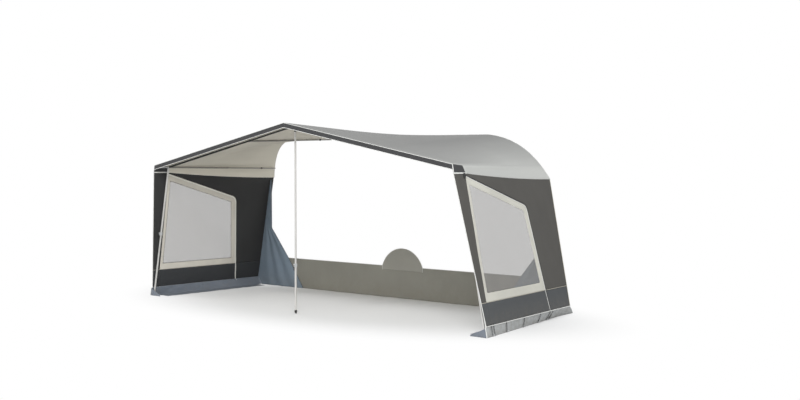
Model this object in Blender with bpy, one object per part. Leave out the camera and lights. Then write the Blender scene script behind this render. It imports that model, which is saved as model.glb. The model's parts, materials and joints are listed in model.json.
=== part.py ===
"""Caravan awning: gable-fronted canopy with two side walls on a telescopic pole frame.

Metres, +Z up. The design is drawn with its zero at the middle of the front legs' line, on the ground:
+X to the right seen from the front, +Y towards the rail. An empty then carries every piece, so that
the part's own origin lies on the ground in the middle of its outer sizes.
"""
import math

import bmesh
import bpy
from mathutils import Vector

# Overall shape
TOP_HALF_WIDTH = 2.922       # outer face of a side wall at its top, on the legs' line
WALL_SETBACK = 0.12          # how much nearer the middle a wall stands at the back
DEPTH = 2.29                 # legs' line to the rail
OVERHANG = 0.23              # roof edge in front of the legs' line
EAVE_HEIGHT = 2.01           # top of a side wall at the legs
EAVE_FALL = 0.09             # how much lower it is at the rail
EAVE_SAG = 0.02
EAVE_START = 0.060           # where the roof edge has come down to the wall
WALL_LEAN = 0.378            # how far a wall leans in between the ground and the front eave
GABLE_RISE = 0.71            # front peak above the front eave
RIDGE_FALL = 0.12
CORNER_RISE = 0.12           # front corner of the roof above the front eave
HIP_RISE = 0.102             # crease over the corner pole, above the front eave
HIP_START = 0.0              # where the roof edge starts to drop to the wall

# Contour of the awning rail, which is squarer at its left end than at its right
RAIL_FLAT = {"left": 2.35, "right": 1.75}
RAIL_FLAT_FALL = {"left": 0.02, "right": 0.015}
RAIL_SHOULDER_REACH = {"left": 2.80, "right": 2.42}
RAIL_SHOULDER_FALL = {"left": 0.02, "right": 0.08}
HIP_REAR_RISE = {"left": 0.21, "right": 0.19}

# Cloth and its seams
FABRIC = 0.003
FOIL = 0.001
GAP = 0.0003                 # between pieces that touch
SEAM = 0.0005                # between the edges of two sewn panels
FASCIA_HEIGHT = 0.072
PIPING_RADIUS = 0.0035
KEDER_RADIUS = 0.00375
KEDER_TAIL = 0.012

# Side wall panels
HINGE_FOOT = 0.09            # seam in front of the window panel, at the flap
HINGE_TOP = 0.04             # the same seam at the eave
FLAP_HEIGHT = 0.134          # bottom of the walls
WINDOW_SEAM_HEIGHT = 0.417   # seam between window and lower panel
ZIP_START_DROP = 0.022       # zip under the eave at the front seam
ZIP_CORNER = 1.483
ZIP_CORNER_DROP = 0.433      # its corner below the front eave
ZIP_FOOT = 1.70
ZIP_CORNER_RADIUS = 0.12
ZIP_WIDTH = 0.014
WINDOW_FRONT_BORDER = 0.055
WINDOW_TOP_BORDER = 0.090
WINDOW_REAR_BORDER = 0.100
WINDOW_BOTTOM_BORDER = 0.110
WINDOW_CORNER_RADIUS = 0.02
PANEL_CORNER_RADIUS = 0.004
FOIL_LAP = 0.018
SLIDER_LENGTH = 0.030
SLIDER_THICKNESS = 0.004
SLIDER_TAB_LENGTH = 0.045
SLIDER_TAB_WIDTH = 0.007
SLIDER_TAB_THICKNESS = 0.0018
SLIDER_REST = 0.067          # its middle above the foot of the zip

# Mud flaps
FLAP_REACH = 0.32            # inner edge of a flap on the ground, from the wall's foot line
FLAP_SETBACK = 0.12          # how far inwards the curtain reaches the ground at the back
FLAP_LAY_START = 0.060
FLAP_LAY_END = 2.12
FLAP_TAIL = 0.22             # the peg tab behind the wall
TAIL_SETBACK = 0.087         # its tip inwards of the wall's foot line
WING_REACH = 0.25            # the peg tab that wraps inwards before a leg
WING_FRONT = 0.034
WING_HEIGHT = 0.115
WING_TIP_HEIGHT = 0.014
STRAP_WIDTH = 0.020
STRAP_PROUD = 0.004
STRAP_SLOPE = 0.002
STRAP_PLACES = (0.10, 0.16, 0.48, 0.95, 1.40, 1.67, 1.75)

# Rear closures
SEAL_SETBACK = 0.075         # sealing flap before the rail
SEAL_TOP_DROP = 0.04         # its top below the wall's top at the rail
SEAL_BEND_HEIGHT = 1.02
SEAL_KNEE_HEIGHT = 0.50
SEAL_TOP_WIDTH = 0.0269      # from the wall to its free edge, which hangs straight down to the bend
SEAL_KNEE_WIDTH = 0.7064
SEAL_FOOT_WIDTH = 1.0234
SEAL_FOLD_DEPTH = 0.011
SEAL_FOOT_INSET = 0.0115      # its foot from the mud flap's curtain, which leans in there
SEAL_FULL_WIDTH = 0.30       # where it is wider than this its folds have their full depth
SKIRT_HEIGHT = 0.512
SKIRT_LAP = 0.020            # how far its ends reach past the sealing flaps' free edges at the knee
SKIRT_FLAT_LENGTH = 0.40     # at each end, behind a sealing flap, it has no folds
SKIRT_FOLD_DEPTH = 0.007
SKIRT_HEM_RADIUS = 0.004
ARCH_PLACE = 0.17            # middle of the wheel arch cover, from the middle
ARCH_HALF_WIDTH = 0.41
ARCH_TOP_HEIGHT = 0.80
ARCH_LAP = 0.07              # how far its foot hangs below the top of the skirt

# Pole frame
LEG_INSET = 0.045            # leg axis from the outer face of the wall
LEG_RADIUS = 0.016
LEG_INNER_RADIUS = 0.0140
SLOPE_RADIUS = 0.014
SLOPE_INNER_RADIUS = 0.0120
RAFTER_RADIUS = 0.0125
RAFTER_INNER_RADIUS = 0.0105
TUBE_WALL = 0.0015
POLE_CLEARANCE = 0.003       # between a roof pole and the cloth over its rear end
SLOPE_CLEARANCE = 0.009      # between a front slope pole and the cloth
SPIGOT_LENGTH = 0.060
SPIGOT_PLAY = 0.0003
JOINT_REACH = 0.025          # from a joint's centre to the end of a tube
ARM_RADIUS = 0.0100
ARM_ROUND = 0.003
PEAK_SLEEVE = 0.085          # lower end of the peak joint, from its centre
LEG_CLAMP_HEIGHT = 1.00
LEG_OVERLAP = 0.36           # inner tube above the clamp
CENTRE_CLAMP_HEIGHT = 0.71
CENTRE_OVERLAP = 0.26
SLOPE_OUTER_LENGTH = 1.58
SLOPE_OVERLAP = 0.22
RAFTER_OUTER_LENGTH = 1.22
RAFTER_OVERLAP = 0.20
RAFTER_COLLAR_RADIUS = 0.0145
RAFTER_COLLAR_LENGTH = 0.040
HIP_POLE_DROP = 0.034        # rear end of a corner pole from the cloth's outer face
HOOK_LENGTH = 0.055
HOOK_NECK = 0.015
HOOK_HALF_WIDTH = 0.009
HOOK_HALF_THICKNESS = 0.0025
HOOK_END_GAP = 0.0025        # from the tip of a hook to the rail edge
FOOT_RADIUS = 0.030
FOOT_HEIGHT = 0.034
FOOT_RIM = 0.006
FOOT_NECK_RADIUS = 0.024
FOOT_SOCKET = 0.010          # how far above the ground the tube ends in its foot
TIP_LENGTH = 0.050
TIP_RADIUS = 0.009
TIP_COLLAR_RADIUS = 0.019
TIP_STOP = 0.028             # where the tube stands on the tip

# Clamp on a leg
CLAMP_HEIGHT = 0.046
CLAMP_RADIUS = 0.022
CLAMP_EAR = 0.006            # ear round the pin, from its axis
CLAMP_LIP = 0.005            # how far the collar stands past the tube's end
CLAMP_LUG_HALF_WIDTH = 0.012
CLAMP_SLOT_HALF_WIDTH = 0.0045
PIN_RADIUS = 0.0028
PIN_PLAY = 0.0002
LEVER_HEAD_RADIUS = 0.0078
LEVER_LENGTH = 0.072
LEVER_TIP_RADIUS = 0.0045
LEVER_OFFSET = 0.004         # how far the handle's tip stands off
LEVER_SIDE_PLAY = 0.0004
PIN_REACH_IN = 0.0012        # pin end inside the lug's face

# Counts and shares
ROUND_SIDES = 16
THIN_SIDES = 12
SMOOTH_ANGLE = math.radians(40)
MAIN_FRONT_SHARES = (0.0, 0.12, 0.24, 0.345, 0.46, 0.57, 0.67, 0.76, 0.84, 0.91, 0.96, 0.992)
MAIN_REAR_SHARES = (0.0, 0.16, 0.32, 0.46, 0.56, 0.65, 0.73, 0.80, 0.87, 0.93, 0.97, 0.995)
MID_POLE_PLACE = 3           # which of these rulings the middle roof poles follow
BAND_SHARES = (0.20, 0.50, 0.80, 1.0)
HIP_ROW_SHARES = (0.25, 0.5, 0.75)
DEPTH_ROW_SHARES = (0.10, 0.25, 0.40, 0.55, 0.70, 0.85, 1.0)
EDGE_STUB_SHARE = 0.99
SEAL_ROW_SHARES = (0.0, 0.16, 0.40, 0.65, 0.80, 1.0)
SEAL_COLUMNS = 18
SEAL_FOLDS = 3
SEAL_HEM_SHARE = 0.25        # part of a fold more, so that the free edge lies back against the skirt
SKIRT_ROW_SHARES = (0.6, 0.3, 0.0)
SKIRT_COLUMNS = 60
SKIRT_FOLDS = 10
ARCH_STEPS = 14
RAIL_STEPS = 24
KEDER_STEPS = 6
BEAD_STEPS = 4
LEVER_STEPS = 7
SLOPE_MARK = 9               # which point of a section marks the slope's direction
SLIDER_TAIL_SHARE = 0.75
SLIDER_NOSE_SHARE = 0.8
RETURN_END_SHARE = 0.6       # how far the foot of a corner return reaches past its last row
SADDLE_SHARE = 0.35          # how far the saddle end wraps the pole it sits on
SECTION_COUNT = len(MAIN_FRONT_SHARES) + len(BAND_SHARES)

SIDES = {"left": -1, "right": 1}
GROUND_HALF_WIDTH = TOP_HALF_WIDTH + WALL_LEAN
EAVE_REAR_HEIGHT = EAVE_HEIGHT - EAVE_FALL
PEAK_HEIGHT = EAVE_HEIGHT + GABLE_RISE
RIDGE_REAR_HEIGHT = PEAK_HEIGHT - RIDGE_FALL
CORNER_HEIGHT = EAVE_HEIGHT + CORNER_RISE
HIP_HEIGHT = EAVE_HEIGHT + HIP_RISE
ZIP_CORNER_HEIGHT = EAVE_HEIGHT - ZIP_CORNER_DROP
SEAL_TOP_HEIGHT = EAVE_REAR_HEIGHT - SEAL_TOP_DROP
REARMOST = DEPTH + FLAP_TAIL
FRONTMOST = -OVERHANG - GAP - 2 * PIPING_RADIUS
ORIGIN_SHIFT = (REARMOST + FRONTMOST) / 2
SKIRT_PLACE = DEPTH - SEAL_SETBACK + SEAL_FOLD_DEPTH + FABRIC + GAP + SKIRT_HEM_RADIUS
PIN_PLACE = CLAMP_RADIUS + 2 * GAP + LEVER_HEAD_RADIUS

MATERIALS = {
    "roof_cloth": ((0.42, 0.42, 0.41), 0.80, 0.0),
    "dark_cloth": ((0.095, 0.094, 0.098), 0.85, 0.0),
    "wall_cloth": ((0.115, 0.108, 0.100), 0.85, 0.0),
    "lower_cloth": ((0.120, 0.125, 0.135), 0.80, 0.0),
    "window_cloth": ((0.60, 0.59, 0.53), 0.75, 0.0),
    "clear_foil": ((0.75, 0.76, 0.75), 0.10, 0.0),
    "mud_cloth": ((0.30, 0.31, 0.32), 0.60, 0.0),
    "seal_cloth": ((0.14, 0.16, 0.19), 0.75, 0.0),
    "skirt_cloth": ((0.19, 0.18, 0.155), 0.75, 0.0),
    "piping": ((0.78, 0.78, 0.75), 0.45, 0.0),
    "pole_steel": ((0.74, 0.75, 0.74), 0.35, 0.7),
    "joint_plastic": ((0.62, 0.63, 0.62), 0.45, 0.0),
    "dark_plastic": ((0.03, 0.03, 0.032), 0.50, 0.0),
}


def clear_scene():
    for old in list(bpy.data.objects):
        bpy.data.objects.remove(old, do_unlink=True)


def make_materials():
    made = {}
    for name, (colour, roughness, metallic) in MATERIALS.items():
        material = bpy.data.materials.new(name)
        material.use_nodes = True
        shader = material.node_tree.nodes["Principled BSDF"]
        shader.inputs["Base Color"].default_value = (*colour, 1.0)
        shader.inputs["Roughness"].default_value = roughness
        shader.inputs["Metallic"].default_value = metallic
        made[name] = material
    return made


def make_carrier():
    carrier = bpy.data.objects.new("awning_origin", None)
    carrier.location = (0.0, -ORIGIN_SHIFT, 0.0)
    bpy.context.scene.collection.objects.link(carrier)
    return carrier


def finish_mesh(name, bm, material, smooth=False):
    bmesh.ops.recalc_face_normals(bm, faces=bm.faces)
    mesh = bpy.data.meshes.new(name)
    bm.to_mesh(mesh)
    bm.free()
    mesh.materials.append(material)
    if smooth:
        mesh.shade_smooth()
        mesh.set_sharp_from_angle(angle=SMOOTH_ANGLE)
    return mesh


def place(name, mesh, pivot=None, lean=0.0, turn=0.0):
    """An object on the carrier. A mesh drawn in the design's frame is moved back by its pivot."""
    thing = bpy.data.objects.new(name, mesh)
    thing.location = pivot if pivot else (0.0, 0.0, 0.0)
    thing.rotation_euler = (0.0, lean, turn)
    thing.parent = CARRIER
    bpy.context.scene.collection.objects.link(thing)
    return thing


def add_piece(name, bm, material, pivot=None, smooth=False):
    if pivot:
        bmesh.ops.translate(bm, vec=-Vector(pivot), verts=bm.verts)
    return place(name, finish_mesh(name, bm, MADE[material], smooth), pivot)


def boolean(thing, other, operation):
    step = thing.modifiers.new(other.name, "BOOLEAN")
    step.operation = operation
    step.solver = "EXACT"
    step.object = other
    other.hide_render = True
    other.display_type = "WIRE"


# Outlines in a plane

def lerp(a, b, t):
    return a + (b - a) * t


def ease(t):
    return t * t * (3.0 - 2.0 * t)


def bezier(a, b, c, steps):
    return [
        tuple((1 - t) ** 2 * p + 2 * t * (1 - t) * q + t * t * r for p, q, r in zip(a, b, c))
        for t in (i / steps for i in range(steps + 1))
    ]


def at_share(line, share):
    """The point of a polyline at a share of its length."""
    lengths = [math.dist(p, q) for p, q in zip(line, line[1:])]
    left = share * sum(lengths)
    for p, q, length in zip(line, line[1:], lengths):
        if left <= length:
            return tuple(lerp(a, b, left / length) for a, b in zip(p, q))
        left -= length
    return line[-1]


def split_at_height(line, height):
    """A falling polyline cut in two where it passes a height."""
    for i, (p, q) in enumerate(zip(line, line[1:])):
        if p[1] > height >= q[1]:
            cut = tuple(lerp(a, b, (height - p[1]) / (q[1] - p[1])) for a, b in zip(p, q))
            return line[:i + 1] + [cut], [cut] + line[i + 1:]
    return line, line[-1:] * 2


def crossing(p, u, q, v):
    """Where the line from p along u meets the line from q along v."""
    k = ((q[0] - p[0]) * v[1] - (q[1] - p[1]) * v[0]) / (u[0] * v[1] - u[1] * v[0])
    return (p[0] + u[0] * k, p[1] + u[1] * k)


def inset(corners, distances):
    """A polygon, its corners counted anticlockwise, with each side moved inwards by its own distance."""
    count = len(corners)
    lines = []
    for i in range(count):
        p, q = corners[i], corners[(i + 1) % count]
        length = math.dist(p, q)
        u = ((q[0] - p[0]) / length, (q[1] - p[1]) / length)
        lines.append(((p[0] - u[1] * distances[i], p[1] + u[0] * distances[i]), u))
    return [crossing(*lines[i - 1], *lines[i]) for i in range(count)]


def rounded(corners, radii, steps=4, closed=True):
    """The polygon's outline with each corner as an arc of its own radius."""
    points = []
    count = len(corners)
    for i, corner in enumerate(corners):
        if not closed and i in (0, count - 1):
            points.append(corner)
            continue
        before = Vector(corners[i - 1]) - Vector(corner)
        after = Vector(corners[(i + 1) % count]) - Vector(corner)
        half = before.angle(after) / 2
        reach = radii[i] / math.tan(half)
        bisector = (before.normalized() + after.normalized()).normalized()
        middle = Vector(corner) + bisector * radii[i] / math.sin(half)
        start = Vector(corner) + before.normalized() * reach - middle
        turn = math.pi - 2 * half
        spin = 1 if before.x * after.y - before.y * after.x < 0 else -1
        for k in range(steps + 1):
            angle = spin * turn * k / steps
            c, s = math.cos(angle), math.sin(angle)
            points.append((middle.x + start.x * c - start.y * s, middle.y + start.x * s + start.y * c))
    return points


# Closed bodies

def add_ring(bm, points):
    return [bm.verts.new(p) for p in points]


def bridge(bm, a, b):
    count = len(a)
    for i in range(count):
        j = (i + 1) % count
        bm.faces.new((a[i], a[j], b[j], b[i]))


def loft(rings, loop=False):
    """A body through rings of equal count, capped at its ends, or closed on itself like a tube."""
    bm = bmesh.new()
    made = [add_ring(bm, ring) for ring in rings]
    for a, b in zip(made, made[1:]):
        bridge(bm, a, b)
    if loop:
        bridge(bm, made[-1], made[0])
    else:
        bm.faces.new(made[0])
        bm.faces.new(made[-1])
    return bm


def slab(front, back):
    """A plate between two outlines of equal count."""
    return loft([front, back])


def shell(outer, inner, cells):
    """A cloth between two grids of points; cells says which squares of the grid are cloth."""
    # both faces fold along the same diagonal of each square
    bm = bmesh.new()
    tops, bottoms = {}, {}
    for i, j in cells:
        for key in ((i, j), (i + 1, j), (i + 1, j + 1), (i, j + 1)):
            if key not in tops:
                tops[key] = bm.verts.new(outer[key[0]][key[1]])
                bottoms[key] = bm.verts.new(inner[key[0]][key[1]])
    edges = {}
    for i, j in cells:
        keys = ((i, j), (i + 1, j), (i + 1, j + 1), (i, j + 1))
        for a, b, c in ((0, 1, 2), (0, 2, 3)):
            bm.faces.new([tops[keys[k]] for k in (a, b, c)])
            bm.faces.new([bottoms[keys[k]] for k in (c, b, a)])
        for a, b in zip(keys, keys[1:] + keys[:1]):
            if edges.pop((b, a), None) is None:
                edges[(a, b)] = True
    for a, b in edges:
        bm.faces.new((tops[b], tops[a], bottoms[a], bottoms[b]))
    return bm


class Axes:
    """A place with its own directions: z along a pole, x to one side and y to the other."""

    def __init__(self, origin, direction, side=(0.0, 1.0, 0.0)):
        self.origin = Vector(origin)
        self.z = Vector(direction).normalized()
        self.x = Vector(side).cross(self.z).normalized()
        self.y = self.z.cross(self.x)

    def at(self, x, y, z):
        return self.origin + self.x * x + self.y * y + self.z * z

    def circle(self, along, radius, sides=ROUND_SIDES):
        turns = (2 * math.pi * i / sides for i in range(sides))
        return [self.at(radius * math.cos(t), radius * math.sin(t), along) for t in turns]

    def plate(self, along, half_width, half_thickness, sides=ROUND_SIDES, squareness_share=0.35):
        """A flat section with the same count of points as a circle."""
        points = []
        for i in range(sides):
            c, s = math.cos(2 * math.pi * i / sides), math.sin(2 * math.pi * i / sides)
            x = math.copysign(abs(c) ** squareness_share, c) * half_width
            y = math.copysign(abs(s) ** squareness_share, s) * half_thickness
            points.append(self.at(x, y, along))
        return points


def turned(axes, profile, sides=ROUND_SIDES, loop=False):
    """A turned body; the profile lists how far along and how far out, in order."""
    return loft([axes.circle(along, radius, sides) for along, radius in profile], loop)


def tube(axes, start, end, radius, wall=TUBE_WALL, sides=ROUND_SIDES):
    bore = radius - wall
    return turned(axes, [(start, radius), (end, radius), (end, bore), (start, bore)], sides, loop=True)


# Side wall plane

def wall_x(y, z):
    return GROUND_HALF_WIDTH - WALL_SETBACK * y / DEPTH - WALL_LEAN * z / EAVE_HEIGHT


def wall_normal(sign):
    return Vector((sign, WALL_SETBACK / DEPTH, WALL_LEAN / EAVE_HEIGHT)).normalized()


def wall_point(sign, y, z, inwards=0.0):
    return Vector((sign * wall_x(y, z), y, z)) - wall_normal(sign) * inwards


def wall_outline(sign, outline, inwards=0.0):
    return [wall_point(sign, y, z, inwards) for y, z in outline]


def wall_panel(name, sign, outline, material, thickness=FABRIC, inwards=0.0, pivot=None):
    bm = slab(wall_outline(sign, outline, inwards), wall_outline(sign, outline, inwards + thickness))
    return add_piece(name, bm, material, pivot)


def hinge_y(z):
    """The seam in front of the window panel."""
    return lerp(HINGE_FOOT, HINGE_TOP, (z - FLAP_HEIGHT) / (EAVE_HEIGHT - FLAP_HEIGHT))


def front_edge_y(z):
    return -OVERHANG * z / EAVE_HEIGHT


def eave_z(y):
    t = (y - EAVE_START) / (DEPTH - EAVE_START)
    return lerp(EAVE_HEIGHT, EAVE_REAR_HEIGHT, t) - 4 * EAVE_SAG * t * (1 - t)


def zip_corners():
    start_height = EAVE_HEIGHT - ZIP_START_DROP
    return [(hinge_y(start_height), start_height), (ZIP_CORNER, ZIP_CORNER_HEIGHT), (ZIP_FOOT, FLAP_HEIGHT)]


def zip_line(offset, bottom=FLAP_HEIGHT):
    """The zip's path, moved outwards of the window panel by an offset, from its start to a height."""
    start, corner, foot = zip_corners()
    lines = []
    for p, q in ((start, corner), (corner, foot)):
        length = math.dist(p, q)
        u = ((q[0] - p[0]) / length, (q[1] - p[1]) / length)
        lines.append(((p[0] - u[1] * offset, p[1] + u[0] * offset), u))
    seam_foot = (HINGE_FOOT + SEAM / 2, FLAP_HEIGHT)
    seam_run = (HINGE_TOP - HINGE_FOOT, EAVE_HEIGHT - FLAP_HEIGHT)
    front = crossing(*lines[0], seam_foot, seam_run)
    knee = crossing(*lines[0], *lines[1])
    end = crossing(*lines[1], (0.0, bottom), (1.0, 0.0))
    return rounded([front, knee, end], [0.0, ZIP_CORNER_RADIUS + offset, 0.0], closed=False)


def window_corners():
    """The window panel's corners down to its seam: bottom front, bottom rear, top rear, top front."""
    inner = -ZIP_WIDTH / 2 - GAP
    start, corner, foot = zip_corners()
    path = zip_line(inner, WINDOW_SEAM_HEIGHT)
    slope = (corner[0] - start[0], corner[1] - start[1])
    fall = (foot[0] - corner[0], foot[1] - corner[1])
    knee = crossing(path[0], slope, path[-1], fall)
    bottom_front = (hinge_y(WINDOW_SEAM_HEIGHT) + SEAM / 2, WINDOW_SEAM_HEIGHT)
    return [bottom_front, path[-1], knee, path[0]]


# Roof surface

def roof_edge_z(y):
    """Height of the roof cloth's side edge."""
    if y <= HIP_START:
        return lerp(CORNER_HEIGHT, HIP_HEIGHT, (y + OVERHANG) / (HIP_START + OVERHANG))
    if y <= EAVE_START:
        return lerp(HIP_HEIGHT, EAVE_HEIGHT, ease((y - HIP_START) / (EAVE_START - HIP_START)))
    return eave_z(y)


def ridge_z(y):
    return lerp(PEAK_HEIGHT, RIDGE_REAR_HEIGHT, (y + OVERHANG) / (DEPTH + OVERHANG))


def overhang_section(y):
    """Slope and band of a section in front of the wall, where both lie on one straight line."""
    edge = roof_edge_z(y)
    line = [(0.0, ridge_z(y)), (wall_x(y, edge), edge)]
    stub = at_share(line, EDGE_STUB_SHARE)
    return [line[0], stub], [stub, line[1]]


def eave_section():
    """Slope and band of the section where the wall starts."""
    hip = (wall_x(EAVE_START, HIP_HEIGHT), HIP_HEIGHT)
    edge = (wall_x(EAVE_START, EAVE_HEIGHT), EAVE_HEIGHT)
    return [(0.0, ridge_z(EAVE_START)), hip], [hip, edge]


def rail_section(side):
    """Slope and band of the rear section, on the rail's contour."""
    edge = (wall_x(DEPTH, EAVE_REAR_HEIGHT), EAVE_REAR_HEIGHT)
    flat_end = (RAIL_FLAT[side], RIDGE_REAR_HEIGHT - RAIL_FLAT_FALL[side])
    reach = (RAIL_SHOULDER_REACH[side], RIDGE_REAR_HEIGHT - RAIL_SHOULDER_FALL[side])
    contour = [(0.0, RIDGE_REAR_HEIGHT)] + bezier(flat_end, reach, edge, RAIL_STEPS)
    return split_at_height(contour, EAVE_REAR_HEIGHT + HIP_REAR_RISE[side])


def section_point(section, shares, index):
    slope, band = section
    if index < len(shares):
        return at_share(slope, shares[index])
    return at_share(band, BAND_SHARES[index - len(shares)])


def roof_point(side, index, y):
    """A point of the roof's outer face, its index counted from the ridge to the edge."""
    last = index == SECTION_COUNT - 1
    if y <= HIP_START:
        x, z = section_point(overhang_section(y), MAIN_FRONT_SHARES, index)
    elif y <= EAVE_START:
        t = ease((y - HIP_START) / (EAVE_START - HIP_START))
        a = section_point(overhang_section(HIP_START), MAIN_FRONT_SHARES, index)
        b = section_point(eave_section(), MAIN_FRONT_SHARES, index)
        x, z = lerp(a[0], b[0], t), lerp(a[1], b[1], t)
        x = wall_x(y, z) if last else x
    else:
        t = (y - EAVE_START) / (DEPTH - EAVE_START)
        a = section_point(eave_section(), MAIN_FRONT_SHARES, index)
        b = section_point(rail_section(side), MAIN_REAR_SHARES, index)
        x, z = lerp(a[0], b[0], t), lerp(a[1], b[1], t)
        if index >= len(MAIN_FRONT_SHARES):
            drop = 4 * EAVE_SAG * t * (1 - t) * BAND_SHARES[index - len(MAIN_FRONT_SHARES)]
            x += WALL_LEAN / EAVE_HEIGHT * drop
            z -= drop
    return Vector((SIDES[side] * x, y, z))


def roof_rows():
    hip = [lerp(HIP_START, EAVE_START, t) for t in HIP_ROW_SHARES]
    depth = [lerp(EAVE_START, DEPTH, t) for t in DEPTH_ROW_SHARES]
    return [-OVERHANG, (HIP_START - OVERHANG) / 2, HIP_START] + hip + [EAVE_START] + depth


def roof_grid():
    across = [("left", i) for i in reversed(range(1, SECTION_COUNT))]
    across += [("right", i) for i in range(SECTION_COUNT)]
    return [[roof_point(side, i, y) for side, i in across] for y in roof_rows()]


def grid_normals(grid):
    """Upward normals of a grid whose rows run back and whose columns run to the right."""
    rows, columns = len(grid), len(grid[0])
    normals = []
    for i in range(rows):
        line = []
        for j in range(columns):
            across = grid[i][min(j + 1, columns - 1)] - grid[i][max(j - 1, 0)]
            back = grid[min(i + 1, rows - 1)][j] - grid[max(i - 1, 0)][j]
            line.append(across.cross(back).normalized())
        normals.append(line)
    return normals


def make_roof():
    outer = roof_grid()
    normals = grid_normals(outer)
    inner = [[p - n * FABRIC for p, n in zip(row, line)] for row, line in zip(outer, normals)]
    for above, row in zip(outer, inner):
        if above[0].y >= EAVE_START:
            row[0] = above[0] - wall_normal(-1) * FABRIC
            row[-1] = above[-1] - wall_normal(1) * FABRIC
    for row, y in ((inner[0], -OVERHANG), (inner[-1], DEPTH)):
        for p in row:
            p.y = y
    cells = [(i, j) for i in range(len(outer) - 1) for j in range(len(outer[0]) - 1)]
    return add_piece("roof_sheet", shell(outer, inner, cells), "roof_cloth", smooth=True)


def make_keder():
    """The beaded edge that slides into the awning rail."""
    line = roof_grid()[-1]
    start = DEPTH + GAP
    middle = start + KEDER_TAIL
    neck = math.asin(FABRIC / 2 / KEDER_RADIUS)
    rings = []
    for i, p in enumerate(line):
        along = (line[min(i + 1, len(line) - 1)] - line[max(i - 1, 0)]).normalized()
        out = along.cross(Vector((0.0, 1.0, 0.0)))
        section = [(start, 0.0), (start, -FABRIC)]
        for k in range(KEDER_STEPS + 1):
            turn = lerp(math.pi + neck, 3 * math.pi - neck, k / KEDER_STEPS)
            rise = KEDER_RADIUS * math.sin(turn) - FABRIC / 2
            section.append((middle + KEDER_RADIUS * math.cos(turn), rise))
        rings.append([Vector((p.x, y, p.z)) + out * n for y, n in section])
    return add_piece("rail_keder", loft(rings), "piping", smooth=True)


def make_fascia(side):
    """The strip that hangs from the roof's front edge, with a piping bead along each edge."""
    sign = SIDES[side]
    corner = wall_x(-OVERHANG, CORNER_HEIGHT)
    middle = -OVERHANG - GAP - PIPING_RADIUS
    neck = math.pi - math.asin(FABRIC / 2 / PIPING_RADIUS)
    section = []
    for height, way in ((-PIPING_RADIUS, 1), (PIPING_RADIUS - FASCIA_HEIGHT, -1)):
        for k in range(BEAD_STEPS + 1):
            turn = lerp(-neck, neck, k / BEAD_STEPS)
            across = way * PIPING_RADIUS * math.sin(turn)
            section.append((middle + across, height + way * PIPING_RADIUS * math.cos(turn)))
    start, end = [], []
    run = (corner, CORNER_HEIGHT - PEAK_HEIGHT)
    for y, height in section:
        x = GAP / 2
        start.append((sign * x, y, PEAK_HEIGHT + height + run[1] / run[0] * x))
        line_start = (0.0, PEAK_HEIGHT + height)
        x, z = crossing(line_start, run, (wall_x(y, 0.0), 0.0), (-WALL_LEAN, EAVE_HEIGHT))
        end.append((sign * x, y, z))
    return add_piece(f"fascia_{side}", loft([start, end]), "dark_cloth", smooth=True)


# Side walls

def make_corner_return(side):
    """The dark piece that closes the side of the overhang, over the front strip."""
    edge = [(y, roof_edge_z(y)) for y in roof_rows() if y <= EAVE_START]
    under = FABRIC + 2 * SEAM
    top = [(-OVERHANG, CORNER_HEIGHT - under)]
    for before, here, after in zip(edge, edge[1:], edge[2:]):
        run = Vector(after) - Vector(before)
        run.normalize()
        top.append((here[0] + run.y * under, here[1] - run.x * under))
    foot = EAVE_HEIGHT + SEAM
    end = lerp(top[-1][0], EAVE_START - under, RETURN_END_SHARE)
    outline = [(-OVERHANG, foot), (end, foot)] + top[::-1]
    return wall_panel(f"corner_return_{side}", SIDES[side], outline, "dark_cloth")


def make_front_strip(side):
    top = EAVE_HEIGHT - SEAM
    outline = [
        (front_edge_y(FLAP_HEIGHT), FLAP_HEIGHT),
        (hinge_y(FLAP_HEIGHT) - SEAM / 2, FLAP_HEIGHT),
        (hinge_y(top) - SEAM / 2, top),
        (front_edge_y(top), top),
    ]
    return wall_panel(f"front_strip_{side}", SIDES[side], outline, "wall_cloth")


def make_rear_wall(side):
    zip_edge = zip_line(ZIP_WIDTH / 2 + GAP, WINDOW_SEAM_HEIGHT)
    rows = [y for y in roof_rows() if y >= EAVE_START]
    eave = [(y, eave_z(y) - SEAM) for y in reversed(rows)]
    front_top = (hinge_y(EAVE_HEIGHT) + SEAM / 2, EAVE_HEIGHT - SEAM)
    outline = zip_edge + [(DEPTH, WINDOW_SEAM_HEIGHT)] + eave + [front_top]
    return wall_panel(f"rear_wall_{side}", SIDES[side], outline, "wall_cloth")


def make_rear_lower_panel(side):
    top = WINDOW_SEAM_HEIGHT - SEAM
    edge = ZIP_WIDTH / 2 + GAP
    outline = [
        zip_line(edge)[-1],
        (DEPTH, FLAP_HEIGHT),
        (DEPTH, top),
        zip_line(edge, top)[-1],
    ]
    return wall_panel(f"rear_lower_panel_{side}", SIDES[side], outline, "lower_cloth")


def window_pivot(side):
    """The foot of the seam that the window panel turns on."""
    return wall_point(SIDES[side], hinge_y(FLAP_HEIGHT), FLAP_HEIGHT)


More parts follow.
